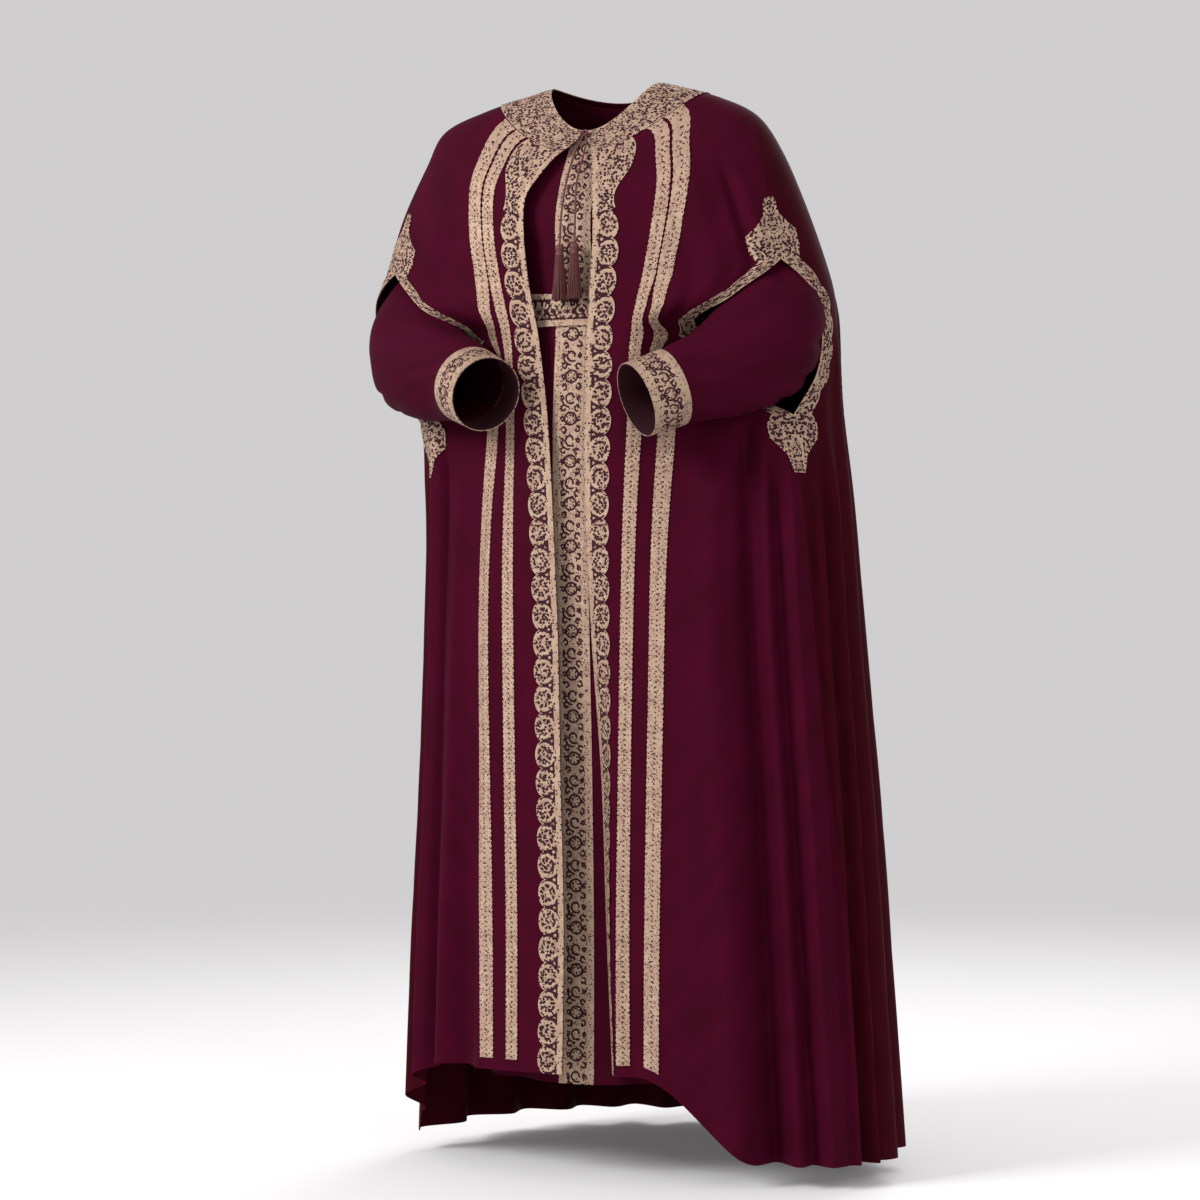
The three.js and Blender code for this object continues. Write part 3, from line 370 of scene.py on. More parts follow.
# a smooth line through points, its knots spaced by the root of their distances
def smoothRoute(points, steps):
    p = np.asarray(points, float)
    p = np.concatenate([[2 * p[0] - p[1]], p, [2 * p[-1] - p[-2]]])
    line = []
    for i in range(1, len(p) - 2):
        spans = np.linalg.norm(np.diff(p[i - 1 : i + 3], axis=0), axis=1)
        t = np.concatenate([[0], np.cumsum(np.sqrt(spans))])
        for s in np.linspace(t[1], t[2], steps, endpoint=False):
            a = [p[i - 1 + n] + (p[i + n] - p[i - 1 + n]) * (s - t[n]) / (t[n + 1] - t[n]) for n in range(3)]
            b = [a[n] + (a[n + 1] - a[n]) * (s - t[n]) / (t[n + 2] - t[n]) for n in range(2)]
            line.append(b[0] + (b[1] - b[0]) * (s - t[1]) / (t[2] - t[1]))
    return np.array(line + [p[-2]])


# rings of points round a line, with a profile that may turn along it
def ringsRound(line, radiusAt, sides):
    tangent = np.gradient(line, axis=0)
    tangent /= np.linalg.norm(tangent, axis=1, keepdims=True)
    side = np.cross(tangent[0], (1, 0.3, 0))
    turn = np.arange(sides) / sides * 2 * np.pi
    rings = []
    for i, point in enumerate(line):
        side = side - tangent[i] * side.dot(tangent[i])
        side /= np.linalg.norm(side)
        other = np.cross(tangent[i], side)
        radius = radiusAt(turn, i)
        rings.append(point + np.outer(radius * np.cos(turn), side) + np.outer(radius * np.sin(turn), other))
    return np.array(rings)


# a tube through rings, closed with a face at each end
def tubeMesh(rings, points, faces):
    base = len(points)
    count, sides = rings.shape[:2]
    points.extend(rings.reshape(-1, 3).tolist())
    for i in range(count - 1):
        near, far = base + i * sides, base + (i + 1) * sides
        for j in range(sides):
            k = (j + 1) % sides
            faces.append((near + j, near + k, far + k, far + j))
    faces.append(tuple(base + j for j in reversed(range(sides))))
    faces.append(tuple(base + (count - 1) * sides + j for j in range(sides)))


def silkMaterial(name, light, deep, scale):
    material, tree, shader = newMaterial(
        name, {"Sheen Weight": 0.1, "Sheen Roughness": 0.4, "Specular IOR Level": 0.3}
    )
    grain = noise(tree, addNode(tree, "ShaderNodeTexCoord").outputs["Object"], scale, 3.0)
    rough = mapRange(tree, grain, {"To Min": 0.4, "To Max": 0.62})
    coat(tree, shader, mixColours(tree, grain, deep, light), rough, grain, 0.4, 0.0002)
    return material


tieSilk = silkMaterial("tieSilk", (0.135, 0.040, 0.036), (0.060, 0.015, 0.016), 900.0)


def tiePiece(name, node, points, faces):
    mesh = bpy.data.meshes.new(name)
    mesh.from_pydata([tuple(p) for p in points], [], faces)
    mesh.update()
    piece = newPiece(name, mesh)
    bpy.ops.object.mode_set(mode="EDIT")
    bpy.ops.mesh.select_all(action="SELECT")
    bpy.ops.mesh.normals_make_consistent(inside=False)
    bpy.ops.object.mode_set(mode="OBJECT")
    bpy.ops.object.shade_smooth_by_angle(angle=math.radians(60))
    return finish(piece, node, tieSilk)


tassel = {
    "headRadius": 6.2, "headHeight": 15.0, "lobes": 9, "lobeDepth": 0.045, "bindings": 4,
    "length": 74.0, "skirtRadius": 5.3, "splay": 5.5, "strands": 150, "strandRadius": 0.62,
    "seeds": {"left": 7, "right": 8},
}
headShape = [(0.10, 0.0), (0.34, 0.02), (0.62, 0.09), (0.86, 0.2), (0.99, 0.36), (0.97, 0.5), (0.80, 0.6),
             (0.70, 0.66), (0.82, 0.74), (0.90, 0.86), (0.92, 1.0)]  # shares of the radius and the height
goldenAngle = 2.39996


def tasselHead():
    turn = np.arange(28) / 28 * 2 * np.pi
    rings = []
    for share, down in headShape:
        radius = tassel["headRadius"] * share * (1 + tassel["lobeDepth"] * np.cos(tassel["lobes"] * turn))
        height = np.full_like(turn, -tassel["headHeight"] * down)
        rings.append(np.stack([radius * np.cos(turn), radius * np.sin(turn), height], -1) * 0.001)
    return np.array(rings)


def tasselBinding(k):  # a turn of the thread bound round the neck of the head
    rings = []
    height = (0, 0, -tassel["headHeight"] * (0.585 + 0.045 * k) * 0.001)
    for a in np.arange(25) / 24 * 2 * np.pi:
        out = np.array([math.cos(a), math.sin(a), 0])
        centre = out * tassel["headRadius"] * 0.80 * 0.001
        rings.append([centre + 0.0005 * (math.cos(b) * out + np.array([0, 0, math.sin(b)])) + height
                      for b in np.arange(6) / 6 * 2 * np.pi])
    return np.array(rings)


def tasselStrand(i, grains):
    radius = tassel["skirtRadius"] * math.sqrt((i + 0.5) / tassel["strands"])
    angle = i * goldenAngle + grains.uniform(-0.1, 0.1)
    length = tassel["length"] - tassel["headHeight"] + 2 + grains.uniform(-2.5, 1.0)
    wobble = grains.uniform(0.2, 0.7)
    phase = grains.uniform(0, 6)
    steps = np.linspace(0, 1, 9)
    out = radius + tassel["splay"] * radius / tassel["skirtRadius"] * steps**1.4
    line = np.stack([out * math.cos(angle) + wobble * np.sin(5 * steps + phase) * steps,
                     out * math.sin(angle) + wobble * np.cos(4 * steps + phase) * steps,
                     -tassel["headHeight"] + 2 - length * steps], -1) * 0.001
    return ringsRound(line, lambda turn, i: np.full_like(turn, tassel["strandRadius"] * 0.001), 4)


# a tassel: its bound head, and the skirt of strands under it
def addTassel(hand, top):
    grains = np.random.default_rng(tassel["seeds"][hand])
    parts = {
        "head": [tasselHead()] + [tasselBinding(k) for k in range(tassel["bindings"])],
        "skirt": [tasselStrand(i, grains) for i in range(tassel["strands"])],
    }
    made = []
    for part, tubes in parts.items():
        points, faces = [], []
        for rings in tubes:
            tubeMesh(rings, points, faces)
        shifted = np.asarray(points) + np.array(top) + (0, 0, -0.0003)
        made.append(tiePiece(f"tassel_{part}_{hand}", f"tie_tassel_{hand}", shifted, faces))
    return made[0]


def addCord(hand):
    route = smoothRoute(tieRoutes[hand], 12)
    along = np.concatenate([[0], np.cumsum(np.linalg.norm(np.diff(route, axis=0), axis=1))])
    radius = tie["radius"] * 0.001

    def plied(turn, i):
        twist = along[i] * tie["turnsPerMetre"] * 2 * np.pi / tie["plies"]
        return radius * (0.84 + 0.16 * np.abs(np.cos(tie["plies"] * (turn - twist) / 2)))

    points, faces = [], []
    tubeMesh(ringsRound(route, plied, 12), points, faces)
    cord = tiePiece(f"cord_{hand}", f"tie_cord_{hand}", points, faces)
    hanging = addTassel(hand, tieRoutes[hand][-1])
    print("cord", hand, round(float(along[-1]), 4))


def knotRadius(turn, i):
    return tie["radius"] * 0.001 * (0.86 + 0.14 * np.abs(np.cos(1.5 * turn + i * 0.5)))


# turns of cord pulled tight round each other
def addKnot():
    points, faces = [], []
    for lean, offset, size in ((0.5, -0.9, 1.0), (-0.55, 0.9, 0.94), (0.05, 0.0, 0.78)):
        ring = []
        for a in np.linspace(0, 2 * np.pi, 41):
            x, z = 4.6 * size * math.cos(a), 2.7 * size * math.sin(a)
            ring.append((tie["x"] + x * math.cos(lean) - z * math.sin(lean),
                         tie["y"] - 0.6 + offset * 1.6 + 0.9 * math.sin(2 * a),
                         tie["z"] + x * math.sin(lean) + z * math.cos(lean)))
        line = np.array(ring) * 0.001
        tubeMesh(ringsRound(line, knotRadius, 10), points, faces)
    tiePiece("knot", "tie_knot", points, faces)


for hand in hands.values():
    addCord(hand)
addKnot()
print("tie made")

# The cape's rings, a column for each row from the neck to the hem: the heights at the side, at the front
# edge and at the centre back, and the reaches to the left, to the right, forwards and backwards.
capeRings = {
    "side": [2, -7, -22, -48, -95, -165, -240, -292, -343, -393, -452, -570, -765, -980, -1200, -1427],
    "fore": [-68, -86, -106, -132, -166, -215, -275, -310, -345, -395, -452, -560, -740, -930, -1120, -1316],
    "aft": [-12, -27, -50, -80, -124, -185, -255, -300, -344, -394, -452, -575, -775, -995, -1215, -1435],
    "left": [77, 112, 163, 213, 246, 277, 304, 318, 320, 321, 325, 338, 353, 371, 386, 402],
    "right": [77, 114, 174, 236, 263, 298, 324, 342, 337, 308, 272, 258, 262, 271, 283, 292],
    "front": [74, 86, 100, 118, 133, 139, 138, 137, 137, 140, 144, 149, 151, 151, 150, 150],
    "back": [66, 80, 96, 112, 128, 146, 168, 184, 199, 214, 228, 262, 310, 350, 380, 405],
}
# where lines run down the cape's fronts: distances from the middle, the depth of the edge's curl, and the
# width of its trim
capeMarks = {
    "edgeLeft": [1.5, 9, 17, 25, 31, 34, 30, 28, 25, 25, 25, 25, 31, 41, 46, 54],
    "edgeRight": [1.5, 14, 34, 50, 66, 65, 58, 51, 44, 36, 28, 19, 10, 6, 2, 4],
    "inner": [38, 70, 105, 117, 124, 120, 109, 101, 94, 91, 90, 88, 85, 82, 79, 79],
    "outer": [59, 90.5, 127, 139, 146, 141, 130, 129, 128, 126, 126, 126, 125, 122, 119, 118],
    "curl": [0, 0, 0, 0, 0, 0, 0, 0, 0, 0, 0, 7, 17, 28, 32, 33],
    "trim": [26, 40, 58, 53, 30, 36, 36, 36, 36, 36, 36, 36, 36, 36, 36, 36],
}
hemRow = 15
cape = {"thickness": 0.9, "scallopWidth": 36, "scallopNotch": 25, "scallopCount": 31, "scallopTop": -185,
        "innerBraid": 18, "outerBraid": 21, "yokeRow": 1.65, "hem": -1316, "braidEnd": -1302}
# an arm slit: its rows, the seam's angle there, and how far its edges part, in degrees
slit = {"top": 6, "bottom": 10, "middle": 62, "forward": 29, "backward": {1: 16, -1: 27},
        "power": {-1: 0.95, 1: 2.2}}
# how far the front is pulled over the forearm beside the slit, in eighths of its length
slitPulls = {"x": [0, -19, -29, -45, -22, -58, -74, -65, 0], "y": [0, -6, -8, 2, 40, 41, 31, 31, 0]}
pullRelease = {"from": 9.5, "to": 12.2, "depth": 31, "right": 0.86}
forearm = {"angle": 25, "halfWidth": 9, "depth": {1: 15, -1: 10}}  # where it presses the front in
hemTurn = {1: (14, 40), -1: (40, 112)}  # where the hem goes from the front's height to the side's
capeFolds = {  # angle from the front, depth at the hem, half-width in degrees, first row
    1: [(13.5, 9, 2.4, 12), (43.5, 30, 4.6, 9), (54, 12, 3, 9.5), (74, 18, 4.5, 9), (86, 22, 5, 8),
        (101, 24, 5, 6), (117, 30, 5.5, 5), (133, 26, 5, 4), (148, 32, 5.5, 4), (164, 28, 5, 5)],
    -1: [(35, 24, 5, 10), (52, 13, 4.5, 10), (69, 18, 5, 9), (86, 20, 5, 8), (103, 26, 5.5, 6),
         (120, 24, 5, 5), (136, 30, 5.5, 4), (151, 24, 5, 4), (167, 30, 5.5, 5)],
}
# soft creases: the angles that each passes, the heights there, how far it stands out or dips in, and its
# half-width in degrees
capeCreases = {
    1: [
        ([30, 33, 35], [-120, -260, -420], -3.5, 2.6),
        ([40, 40, 41], [-90, -200, -330], 3.0, 3.0),
        ([52, 51.5, 51], [-95, -200, -300], -9.0, 2.0),
        ([57, 57, 56], [-90, -180, -250], 3.5, 2.6),
        ([34, 33.5, 35], [-470, -900, -1380], 4.5, 3.0),
        ([43.5, 44.5, 44], [-430, -760, -1420], -13.0, 2.3),
        ([49, 49, 49.5], [-450, -900, -1430], 7.0, 1.8),
        ([53.5, 53, 54], [-470, -900, -1430], -8.5, 1.6),
        ([58.5, 58, 59], [-480, -900, -1430], 8.5, 2.0),
        ([66, 67, 66], [-500, -900, -1430], -7.0, 1.8),
        ([70, 70], [-520, -1430], 4.0, 1.8),
        ([75, 76, 75], [-470, -900, -1430], -10.0, 2.2),
        ([82, 81], [-480, -1430], 5.0, 2.4),
        ([94, 93, 94], [-300, -800, -1430], 5.5, 2.8),
        ([108, 109, 108], [-250, -800, -1430], 6.5, 2.8),
        ([125, 124, 126], [-200, -800, -1435], 6.0, 3.0),
        ([140, 141, 140], [-180, -800, -1435], 7.0, 2.8),
        ([156, 155, 157], [-160, -700, -1435], 6.0, 3.0),
        ([172, 173, 172], [-170, -800, -1435], 5.5, 2.8),
    ],
    -1: [
        ([34, 37, 38], [-130, -260, -420], -3.0, 2.8),
        ([44, 45, 44], [-90, -210, -330], 3.0, 3.2),
        ([27, 26, 28], [-480, -900, -1330], 3.0, 2.6),
        ([43, 43, 44], [-480, -900, -1340], 5.0, 2.6),
        ([53, 54, 53], [-440, -900, -1390], -12.0, 2.4),
        ([61, 62, 61], [-470, -900, -1380], 5.5, 2.4),
        ([68, 69], [-480, -1390], -5.0, 2.4),
        ([77, 78, 77], [-450, -900, -1400], 5.0, 2.8),
        ([94, 95, 94], [-300, -800, -1420], 6.0, 2.8),
        ([111, 112, 111], [-240, -800, -1430], 6.0, 3.0),
        ([128, 127, 129], [-200, -800, -1435], 6.5, 2.8),
        ([143, 144, 143], [-180, -700, -1435], 6.0, 3.0),
        ([159, 160, 158], [-160, -800, -1435], 6.5, 2.8),
        ([175, 174, 175], [-200, -900, -1435], 4.5, 2.6),
    ],
}


def foldDepth(folds, lastRow, angle, row):
    total = np.zeros(np.broadcast(angle, row).shape)
    for place, depth, width, start in folds:
        grown = smooth(row, start, lastRow + 2.5) / 0.74  # 1 at the last row, or near it
        total = total + depth * grown * np.exp(-(((angle - place) / width) ** 2))
    return total


def creaseHeight(creases, angle, z):
    total = np.zeros(angle.shape)
    for places, heights, reach, width in creases:
        down = np.array(heights, float)
        middle = np.interp(-z, -down, places)
        fade = smooth(down[0] - z, 0, 90) * (1 if down[-1] < -1300 else smooth(z - down[-1], 0, 70))
        total = total + reach * fade * np.exp(-(((angle - middle) / width) ** 2))
    return total


# a point of a ring that is round in plan, its outward direction, and how near it is to front or back
def onRing(reach, front, back, side, angle):
    depth = np.where(angle < 90, front, back)
    sine, cosine = np.sin(np.radians(angle)), np.cos(np.radians(angle))
    outX, outY = side * sine / reach, -cosine / depth
    size = np.hypot(outX, outY)
    return side * reach * sine, -depth * cosine, outX / size, outY / size, cosine**2


def slitShare(row):
    return (row - slit["top"]) / (slit["bottom"] - slit["top"])


def slitPull(row):
    x, y = (tableAt(slitPulls[name], slitShare(row) * 8) for name in ("x", "y"))
    released = pullRelease["depth"] * (1 - smooth(row, pullRelease["from"], pullRelease["to"]))
    active = (row > slit["top"]) & (row < pullRelease["to"])
    x = np.where(active & (row < slit["bottom"]), x, 0)
    y = np.where(active, np.where(row < pullRelease["from"], y, released), 0)
    return x, y


def capeSeam(row):
    return blend(90, slit["middle"], smooth(row, 1, slit["top"])) + 9 * smooth(row, slit["bottom"], hemRow)


# the angle of the cape's seam, or of the slit's front edge (way -1) or back edge (way 1)
def slitEdge(side, row, way):
    u = np.clip(slitShare(row), 0, 1)
    widest = slit["forward"] if way < 0 else slit["backward"][side]
    return capeSeam(row) + way * widest * (1 - np.abs(2 * u - 1) ** slit["power"][way])


def curledWidth(curl):
    return np.sqrt(cape["scallopWidth"] ** 2 - curl**2)


# a point of the cape at an angle from the front and a row of its rings, with folds, creases and pulls
def capePoint(side, angle, row):
    angle, row = np.broadcast_arrays(np.asarray(angle, float), np.asarray(row, float))
    row = np.clip(row, 0, hemRow)
    ring = {name: tableAt(column, row) for name, column in capeRings.items()}
    reach = ring[hands[side]]
    x, y, outX, outY, lift = onRing(reach, ring["front"], ring["back"], side, angle)
    end = np.where(angle < 90, ring["fore"], ring["aft"])
    flat = 1 - smooth(angle, *hemTurn[side])
    liftAtHem = np.where(angle < 90, flat, np.maximum(flat, lift) if side < 0 else lift)
    z = blend(ring["side"], end, blend(lift, liftAtHem, smooth(row, slit["bottom"], hemRow)))
    inwards = foldDepth(capeFolds[side], hemRow, angle, row) - creaseHeight(capeCreases[side], angle, z)
    x, y = x - outX * inwards, y - outY * inwards
    pullX, pullY = slitPull(row)
    edge = slitEdge(side, row, -1)
    before = angle < capeSeam(row)
    kept = 1 - smooth(row, pullRelease["from"], slit["bottom"]) * smooth(angle, 42, slit["middle"] - 2)
    pullX = pullX * (1 if side > 0 else pullRelease["right"])
    x = x + np.where(before, side * pullX * smooth(angle, 13, edge), 0)
    y = y + np.where(before, pullY * smooth(angle, 13, np.minimum(edge, 34)) * kept, 0)
    pressed = smooth(row, 8.6, 9.6) * (1 - smooth(row, 10.3, 11.8))
    beside = (angle - forearm["angle"]) / forearm["halfWidth"]
    y = y + forearm["depth"][side] * pressed * np.exp(-(beside**2))
    if side > 0:  # the left front edge curls back towards the hem
        curl = tableAt(capeMarks["curl"], row)
        start = tableAt(capeMarks["edgeLeft"], row)
        across = np.clip((reach * np.sin(np.radians(angle)) - start) / curledWidth(curl), 0, 1)
        y = y + np.where((curl > 0) & (angle < 90), curl * (1 - across), 0)
    return np.stack([x, y, z], -1)


def capeSurface(side):
    return lambda angle, row: capePoint(side, angle, row)


def angleOfX(side, row, x):
    reach = tableAt(capeRings[hands[side]], row)
    return np.degrees(np.arcsin(np.clip(x / reach, 0, 0.985)))


# the angles of the front edge, the end of its trim, and both edges of the two braids, at each row
def markAngles(side, row):
    mark = {name: tableAt(column, row) for name, column in capeMarks.items()}
    edge = mark["edge" + hands[side].capitalize()]
    trim = mark["trim"] * (curledWidth(mark["curl"]) / cape["scallopWidth"] if side > 0 else 1)
    places = [edge, edge + trim]
    for name, width in (("inner", cape["innerBraid"]), ("outer", cape["outerBraid"])):
        places += [mark[name] - width / 2, mark[name] + width / 2]
    end = slitEdge(side, row, -1) - 5.5  # the lines crowd together beside the slit, 1.3 degrees apart
    return [np.maximum(np.minimum(angleOfX(side, row, x), end - 1.3 * (5 - i)), 0.05)
            for i, x in enumerate(places)]


rowSteps = np.linspace(0, hemRow, 1501)
foreHeights = tableAt(capeRings["fore"], rowSteps)


def rowAtHeight(height):  # the row at which the front of the cape reaches a height
    return np.interp(-np.asarray(height, float), -foreHeights, rowSteps)


seamHeights = capePoint(1, capeSeam(rowSteps), rowSteps)[:, 2]


def seamRow(height):  # the row at which the seam reaches a height, below the neck
    return np.interp(-np.asarray(height, float), -seamHeights[100:], rowSteps[100:])


def flatUv(points):  # distances along the rows and down the columns of a grid
    across = np.concatenate([np.zeros((len(points), 1)), np.linalg.norm(np.diff(points, axis=1), axis=2)], 1)
    down = np.concatenate([np.zeros((1, points.shape[1])), np.linalg.norm(np.diff(points, axis=0), axis=2)])
    return np.stack([np.cumsum(across, 1), np.cumsum(down, 0)], -1)


def outerArea(points):
    a = np.cross(points[1:, :-1] - points[:-1, :-1], points[1:, 1:] - points[:-1, :-1])
    b = np.cross(points[1:, 1:] - points[:-1, :-1], points[:-1, 1:] - points[:-1, :-1])
    return float((np.linalg.norm(a, axis=2) + np.linalg.norm(b, axis=2)).sum()) / 2 * 1e-6


def clothPanel(name, surface, angle, row, thickness):
    points = surface(angle, row)
    normals = normalsOf(surface, angle, row)
    piece = wallMesh(name, points, points - normals * thickness, flatUv(points))
    print(name, "area", round(outerArea(points), 3))
    return piece


seamGap = 0.15
gapAngle = math.degrees(seamGap / 300)


def capeFront(side):
    row = np.linspace(0, hemRow, 251)[:, None]
    start, end = markAngles(side, row)[0], slitEdge(side, row, -1) - gapAngle
    angle = blend(start, end, np.linspace(0, 1, 85)[None, :])
    return clothPanel(f"cape_front_panel_{hands[side]}", capeSurface(side), angle, row, cape["thickness"])


# the cape's point at an angle that runs on from the left over the back to the right
def capeBackPoint(angle, row):
    left, right = capePoint(1, np.minimum(angle, 180), row), capePoint(-1, np.minimum(360 - angle, 180), row)
    return np.where((angle > 180)[..., None], right, left)


def capeBack():
    row = np.linspace(0, hemRow, 231)[:, None]
    start, end = slitEdge(1, row, 1) + gapAngle, 360 - slitEdge(-1, row, 1) - gapAngle
    angle = blend(start, end, np.linspace(0, 1, 181)[None, :])
    points = capeBackPoint(*np.broadcast_arrays(angle, row))
    print("cape_back_panel area", round(outerArea(points), 3))
    inner = points - gridNormals(points) * cape["thickness"]
    return wallMesh("cape_back_panel", points, inner, flatUv(points))


capeBackPiece = finish(capeBack(), "cape_back", backCrepePaintedSheerLight)
capeFronts = {side: finish(capeFront(side), f"cape_front_{hand}", capeCrepe)
              for side, hand in hands.items()}
print("cape panels made")

# the dress's rings, as the cape's; both sides reach as far
dressRings = {
    "side": [-3, -13, -30, -53, -122, -192, -300, -350, -480, -700, -930, -1130, -1322],
    "fore": [-77, -98, -121, -147, -190, -237, -306, -350, -480, -700, -930, -1130, -1334],
    "aft": [-21, -36, -61, -92, -147, -210, -303, -350, -480, -700, -930, -1130, -1330],
    "reach": [83, 113, 148, 176, 173, 158, 144, 145, 177, 192, 198, 202, 206],
    "front": [69, 79, 94, 109, 124, 123, 121, 124, 133, 129, 118, 112, 112],
    "back": [63, 73, 87, 98, 106, 102, 92, 101, 128, 146, 156, 164, 170],
}
dressHem = 12
dress = {"thickness": 0.9, "lift": 0.7, "armholeTop": 3, "armholeBottom": 5, "armholeHalf": 33, "seam": 0.15}
dressFolds = [(24, 9, 6, 6.5), (47, 11, 6, 6.5), (70, 12, 6, 7), (112, 13, 6.5, 6.5), (136, 14, 6.5, 6.5),
              (160, 14, 6.5, 6.5)]
dressCreases = [
    ([36, 36], [-360, -1334], 2.5, 3.5),
    ([58, 59], [-360, -1334], 2.5, 3.5),
    ([84, 85], [-380, -1334], 2.0, 4.0),
    ([124, 125], [-360, -1334], 2.5, 4.0),
    ([148, 149], [-360, -1334], 2.5, 4.0),
]


def dressPoint(side, angle, row):
    angle, row = np.broadcast_arrays(np.asarray(angle, float), np.asarray(row, float))
    row = np.clip(row, 0, dressHem)
    ring = {name: tableAt(column, row) for name, column in dressRings.items()}
    x, y, outX, outY, lift = onRing(ring["reach"], ring["front"], ring["back"], side, angle)
    z = dress["lift"] + blend(ring["side"], np.where(angle < 90, ring["fore"], ring["aft"]), lift)
    inwards = foldDepth(dressFolds, dressHem, angle, row) - creaseHeight(dressCreases, angle, z)
    return np.stack([x - outX * inwards, y - outY * inwards, z], -1)


def armholeRow(turn):
    return blend(dress["armholeTop"], dress["armholeBottom"], (1 - np.cos(np.radians(turn))) / 2)


def armholeOpening(row):
    u = np.clip((row - dress["armholeTop"]) / (dress["armholeBottom"] - dress["armholeTop"]), 0, 1)
    return dress["armholeHalf"] * np.sqrt(1 - (2 * u - 1) ** 2)


# the dress's front or back, by an angle that runs from below zero on the right to above it on the left
def dressSurface(front):
    def surface(angle, row):
        angle, row = np.broadcast_arrays(np.asarray(angle, float), np.asarray(row, float))
        turned = np.abs(angle) if front else 180 - np.abs(angle)
        return np.where((angle >= 0)[..., None], dressPoint(1, turned, row), dressPoint(-1, turned, row))
    return surface


def dressPanel(front):
    top, bottom = dress["armholeTop"], dress["armholeBottom"]
    row = np.concatenate([np.linspace(0, top, 24)[:-1], armholeRow(np.linspace(0, 180, 49)),
                          np.linspace(bottom, dressHem, 120)[1:]])[:, None]
    end = 90 - armholeOpening(row) - math.degrees(dress["seam"] / 160)
    name = "dress_front_panel" if front else "dress_back_panel"
    angle = end * np.linspace(-1, 1, 111)[None, :]
    return clothPanel(name, dressSurface(front), angle, row, dress["thickness"])


dressFrontPiece = finish(dressPanel(True), "dress_front", dressCrepe)
dressBackPiece = finish(dressPanel(False), "dress_back", dressCrepe)

# the sleeve's sections from the shoulder to the cuff: their middles, half sizes, and shares of armShifts
sleeveSections = {
    "x": [202, 222, 237, 245, 248, 241, 221, 197, 171.5, 153],
    "y": [3, 1, -3, -13, -39, -69, -98, -120, -140.5, -160],
    "z": [-146, -192, -242, -289, -331, -363, -383, -398, -408.7, -418],
    "tall": [60, 57, 56, 57, 64, 68, 63, 61, 56, 50],
    "deep": [58, 56, 53, 56, 57, 52, 48, 50, 49, 48],
    "elbow": [0, 0.15, 0.3, 0.7, 1, 0.6, 0.25, 0.1, 0, 0],
    "wrist": [0, 0, 0, 0, 0, 0.1, 0.3, 0.5, 0.775, 0.9],
}
cuffSections = {
    "x": [152, 135, 118], "y": [-161, -179, -196], "z": [-418.5, -427, -435.5],
    "tall": [51, 50, 49], "deep": [49, 48, 47], "elbow": [0, 0, 0], "wrist": [0.9, 1, 1.1],
}
armShifts = {1: {"elbow": 0, "elbowLift": 0, "wrist": 0, "wristLift": 0},
             -1: {"elbow": 16, "elbowLift": -5, "wrist": -22, "wristLift": 11}}


def unit(vector):
    return vector / np.linalg.norm(vector)


# the rings of a sleeve's sections; turn runs round from the inside of the elbow
def sectionRings(sections, side, turn):
    column = {name: np.array(values, float) for name, values in sections.items()}
    shift = armShifts[side]
    middle = np.stack([
        side * (column["x"] + column["elbow"] * shift["elbow"] + column["wrist"] * shift["wrist"]),
        column["y"],
        column["z"] + column["elbow"] * shift["elbowLift"] + column["wrist"] * shift["wristLift"],
    ], -1)
    bendAtWrist = unit(np.array([-side * 0.557, 0.716, -0.334]))
    upper = len(middle) > 3
    rings = []
    for i in range(len(middle)):
        along = unit(middle[min(i + 1, len(middle) - 1)] - middle[max(i - 1, 0)])
        bend = bendAtWrist
        if upper:
            bend = unit(blend(bend, np.array([0, 1.0, 0]), max(1 - i / 4, 0)))
            along = unit(np.array([side * 0.85, -0.03, -0.53])) if i == 0 else along
        inside = side * unit(np.cross(bend, along))
        depth = side * unit(np.cross(along, inside))
        rings.append(middle[i] + np.outer(column["tall"][i] * np.cos(turn), inside)
                     + np.outer(column["deep"][i] * np.sin(turn), depth))
    return rings


# creases of a sleeve: where each starts and ends, as turn in degrees and station, its reach and width
sleeveCreases = [
    ((150, 4.2), (215, 5.4), -4.5, 9),
    ((130, 4.9), (200, 5.9), -4.0, 8),
    ((165, 3.4), (225, 4.6), -4.0, 9),
    ((60, 4.6), (95, 7.2), -2.8, 9),
    ((80, 4.2), (120, 6.6), 2.8, 10),
    ((30, 5.0), (55, 8.8), 2.4, 11),
    ((100, 5.6), (90, 9.4), 2.2, 10),
    ((330, 4.8), (350, 8.4), -2.4, 10),
    ((280, 4.2), (310, 7.2), -2.6, 10),
    ((240, 5.0), (255, 8.6), 2.2, 11),
    ((20, 1.0), (60, 3.4), -2.2, 12),
    ((300, 1.2), (270, 3.6), -2.2, 12),
    ((190, 1.4), (160, 3.2), -2.2, 12),
]
sleeve = {"sides": 80, "steps": 110, "creases": 1.3, "fullness": 8.5}  # fullness: the elbow's


def sleeveRelief(turn, station):
    total = np.zeros(np.broadcast(turn, station).shape)
    for (turn0, station0), (turn1, station1), reach, width in sleeveCreases:
        share = np.clip((station - station0) / (station1 - station0), 0, 1)
        off = (turn - blend(turn0, turn1, share) + 180) % 360 - 180
        past = np.maximum(np.maximum(station0 - station, station - station1), 0)
        taper = np.sin(np.pi * np.clip(share, 0.02, 0.98)) ** 0.6
        total = total + reach * taper * np.exp(-((off / width) ** 2) - (past / 0.25) ** 2)
    return total


def sleeveTurn(count):
    return np.linspace(0, 2 * np.pi, count, endpoint=False)


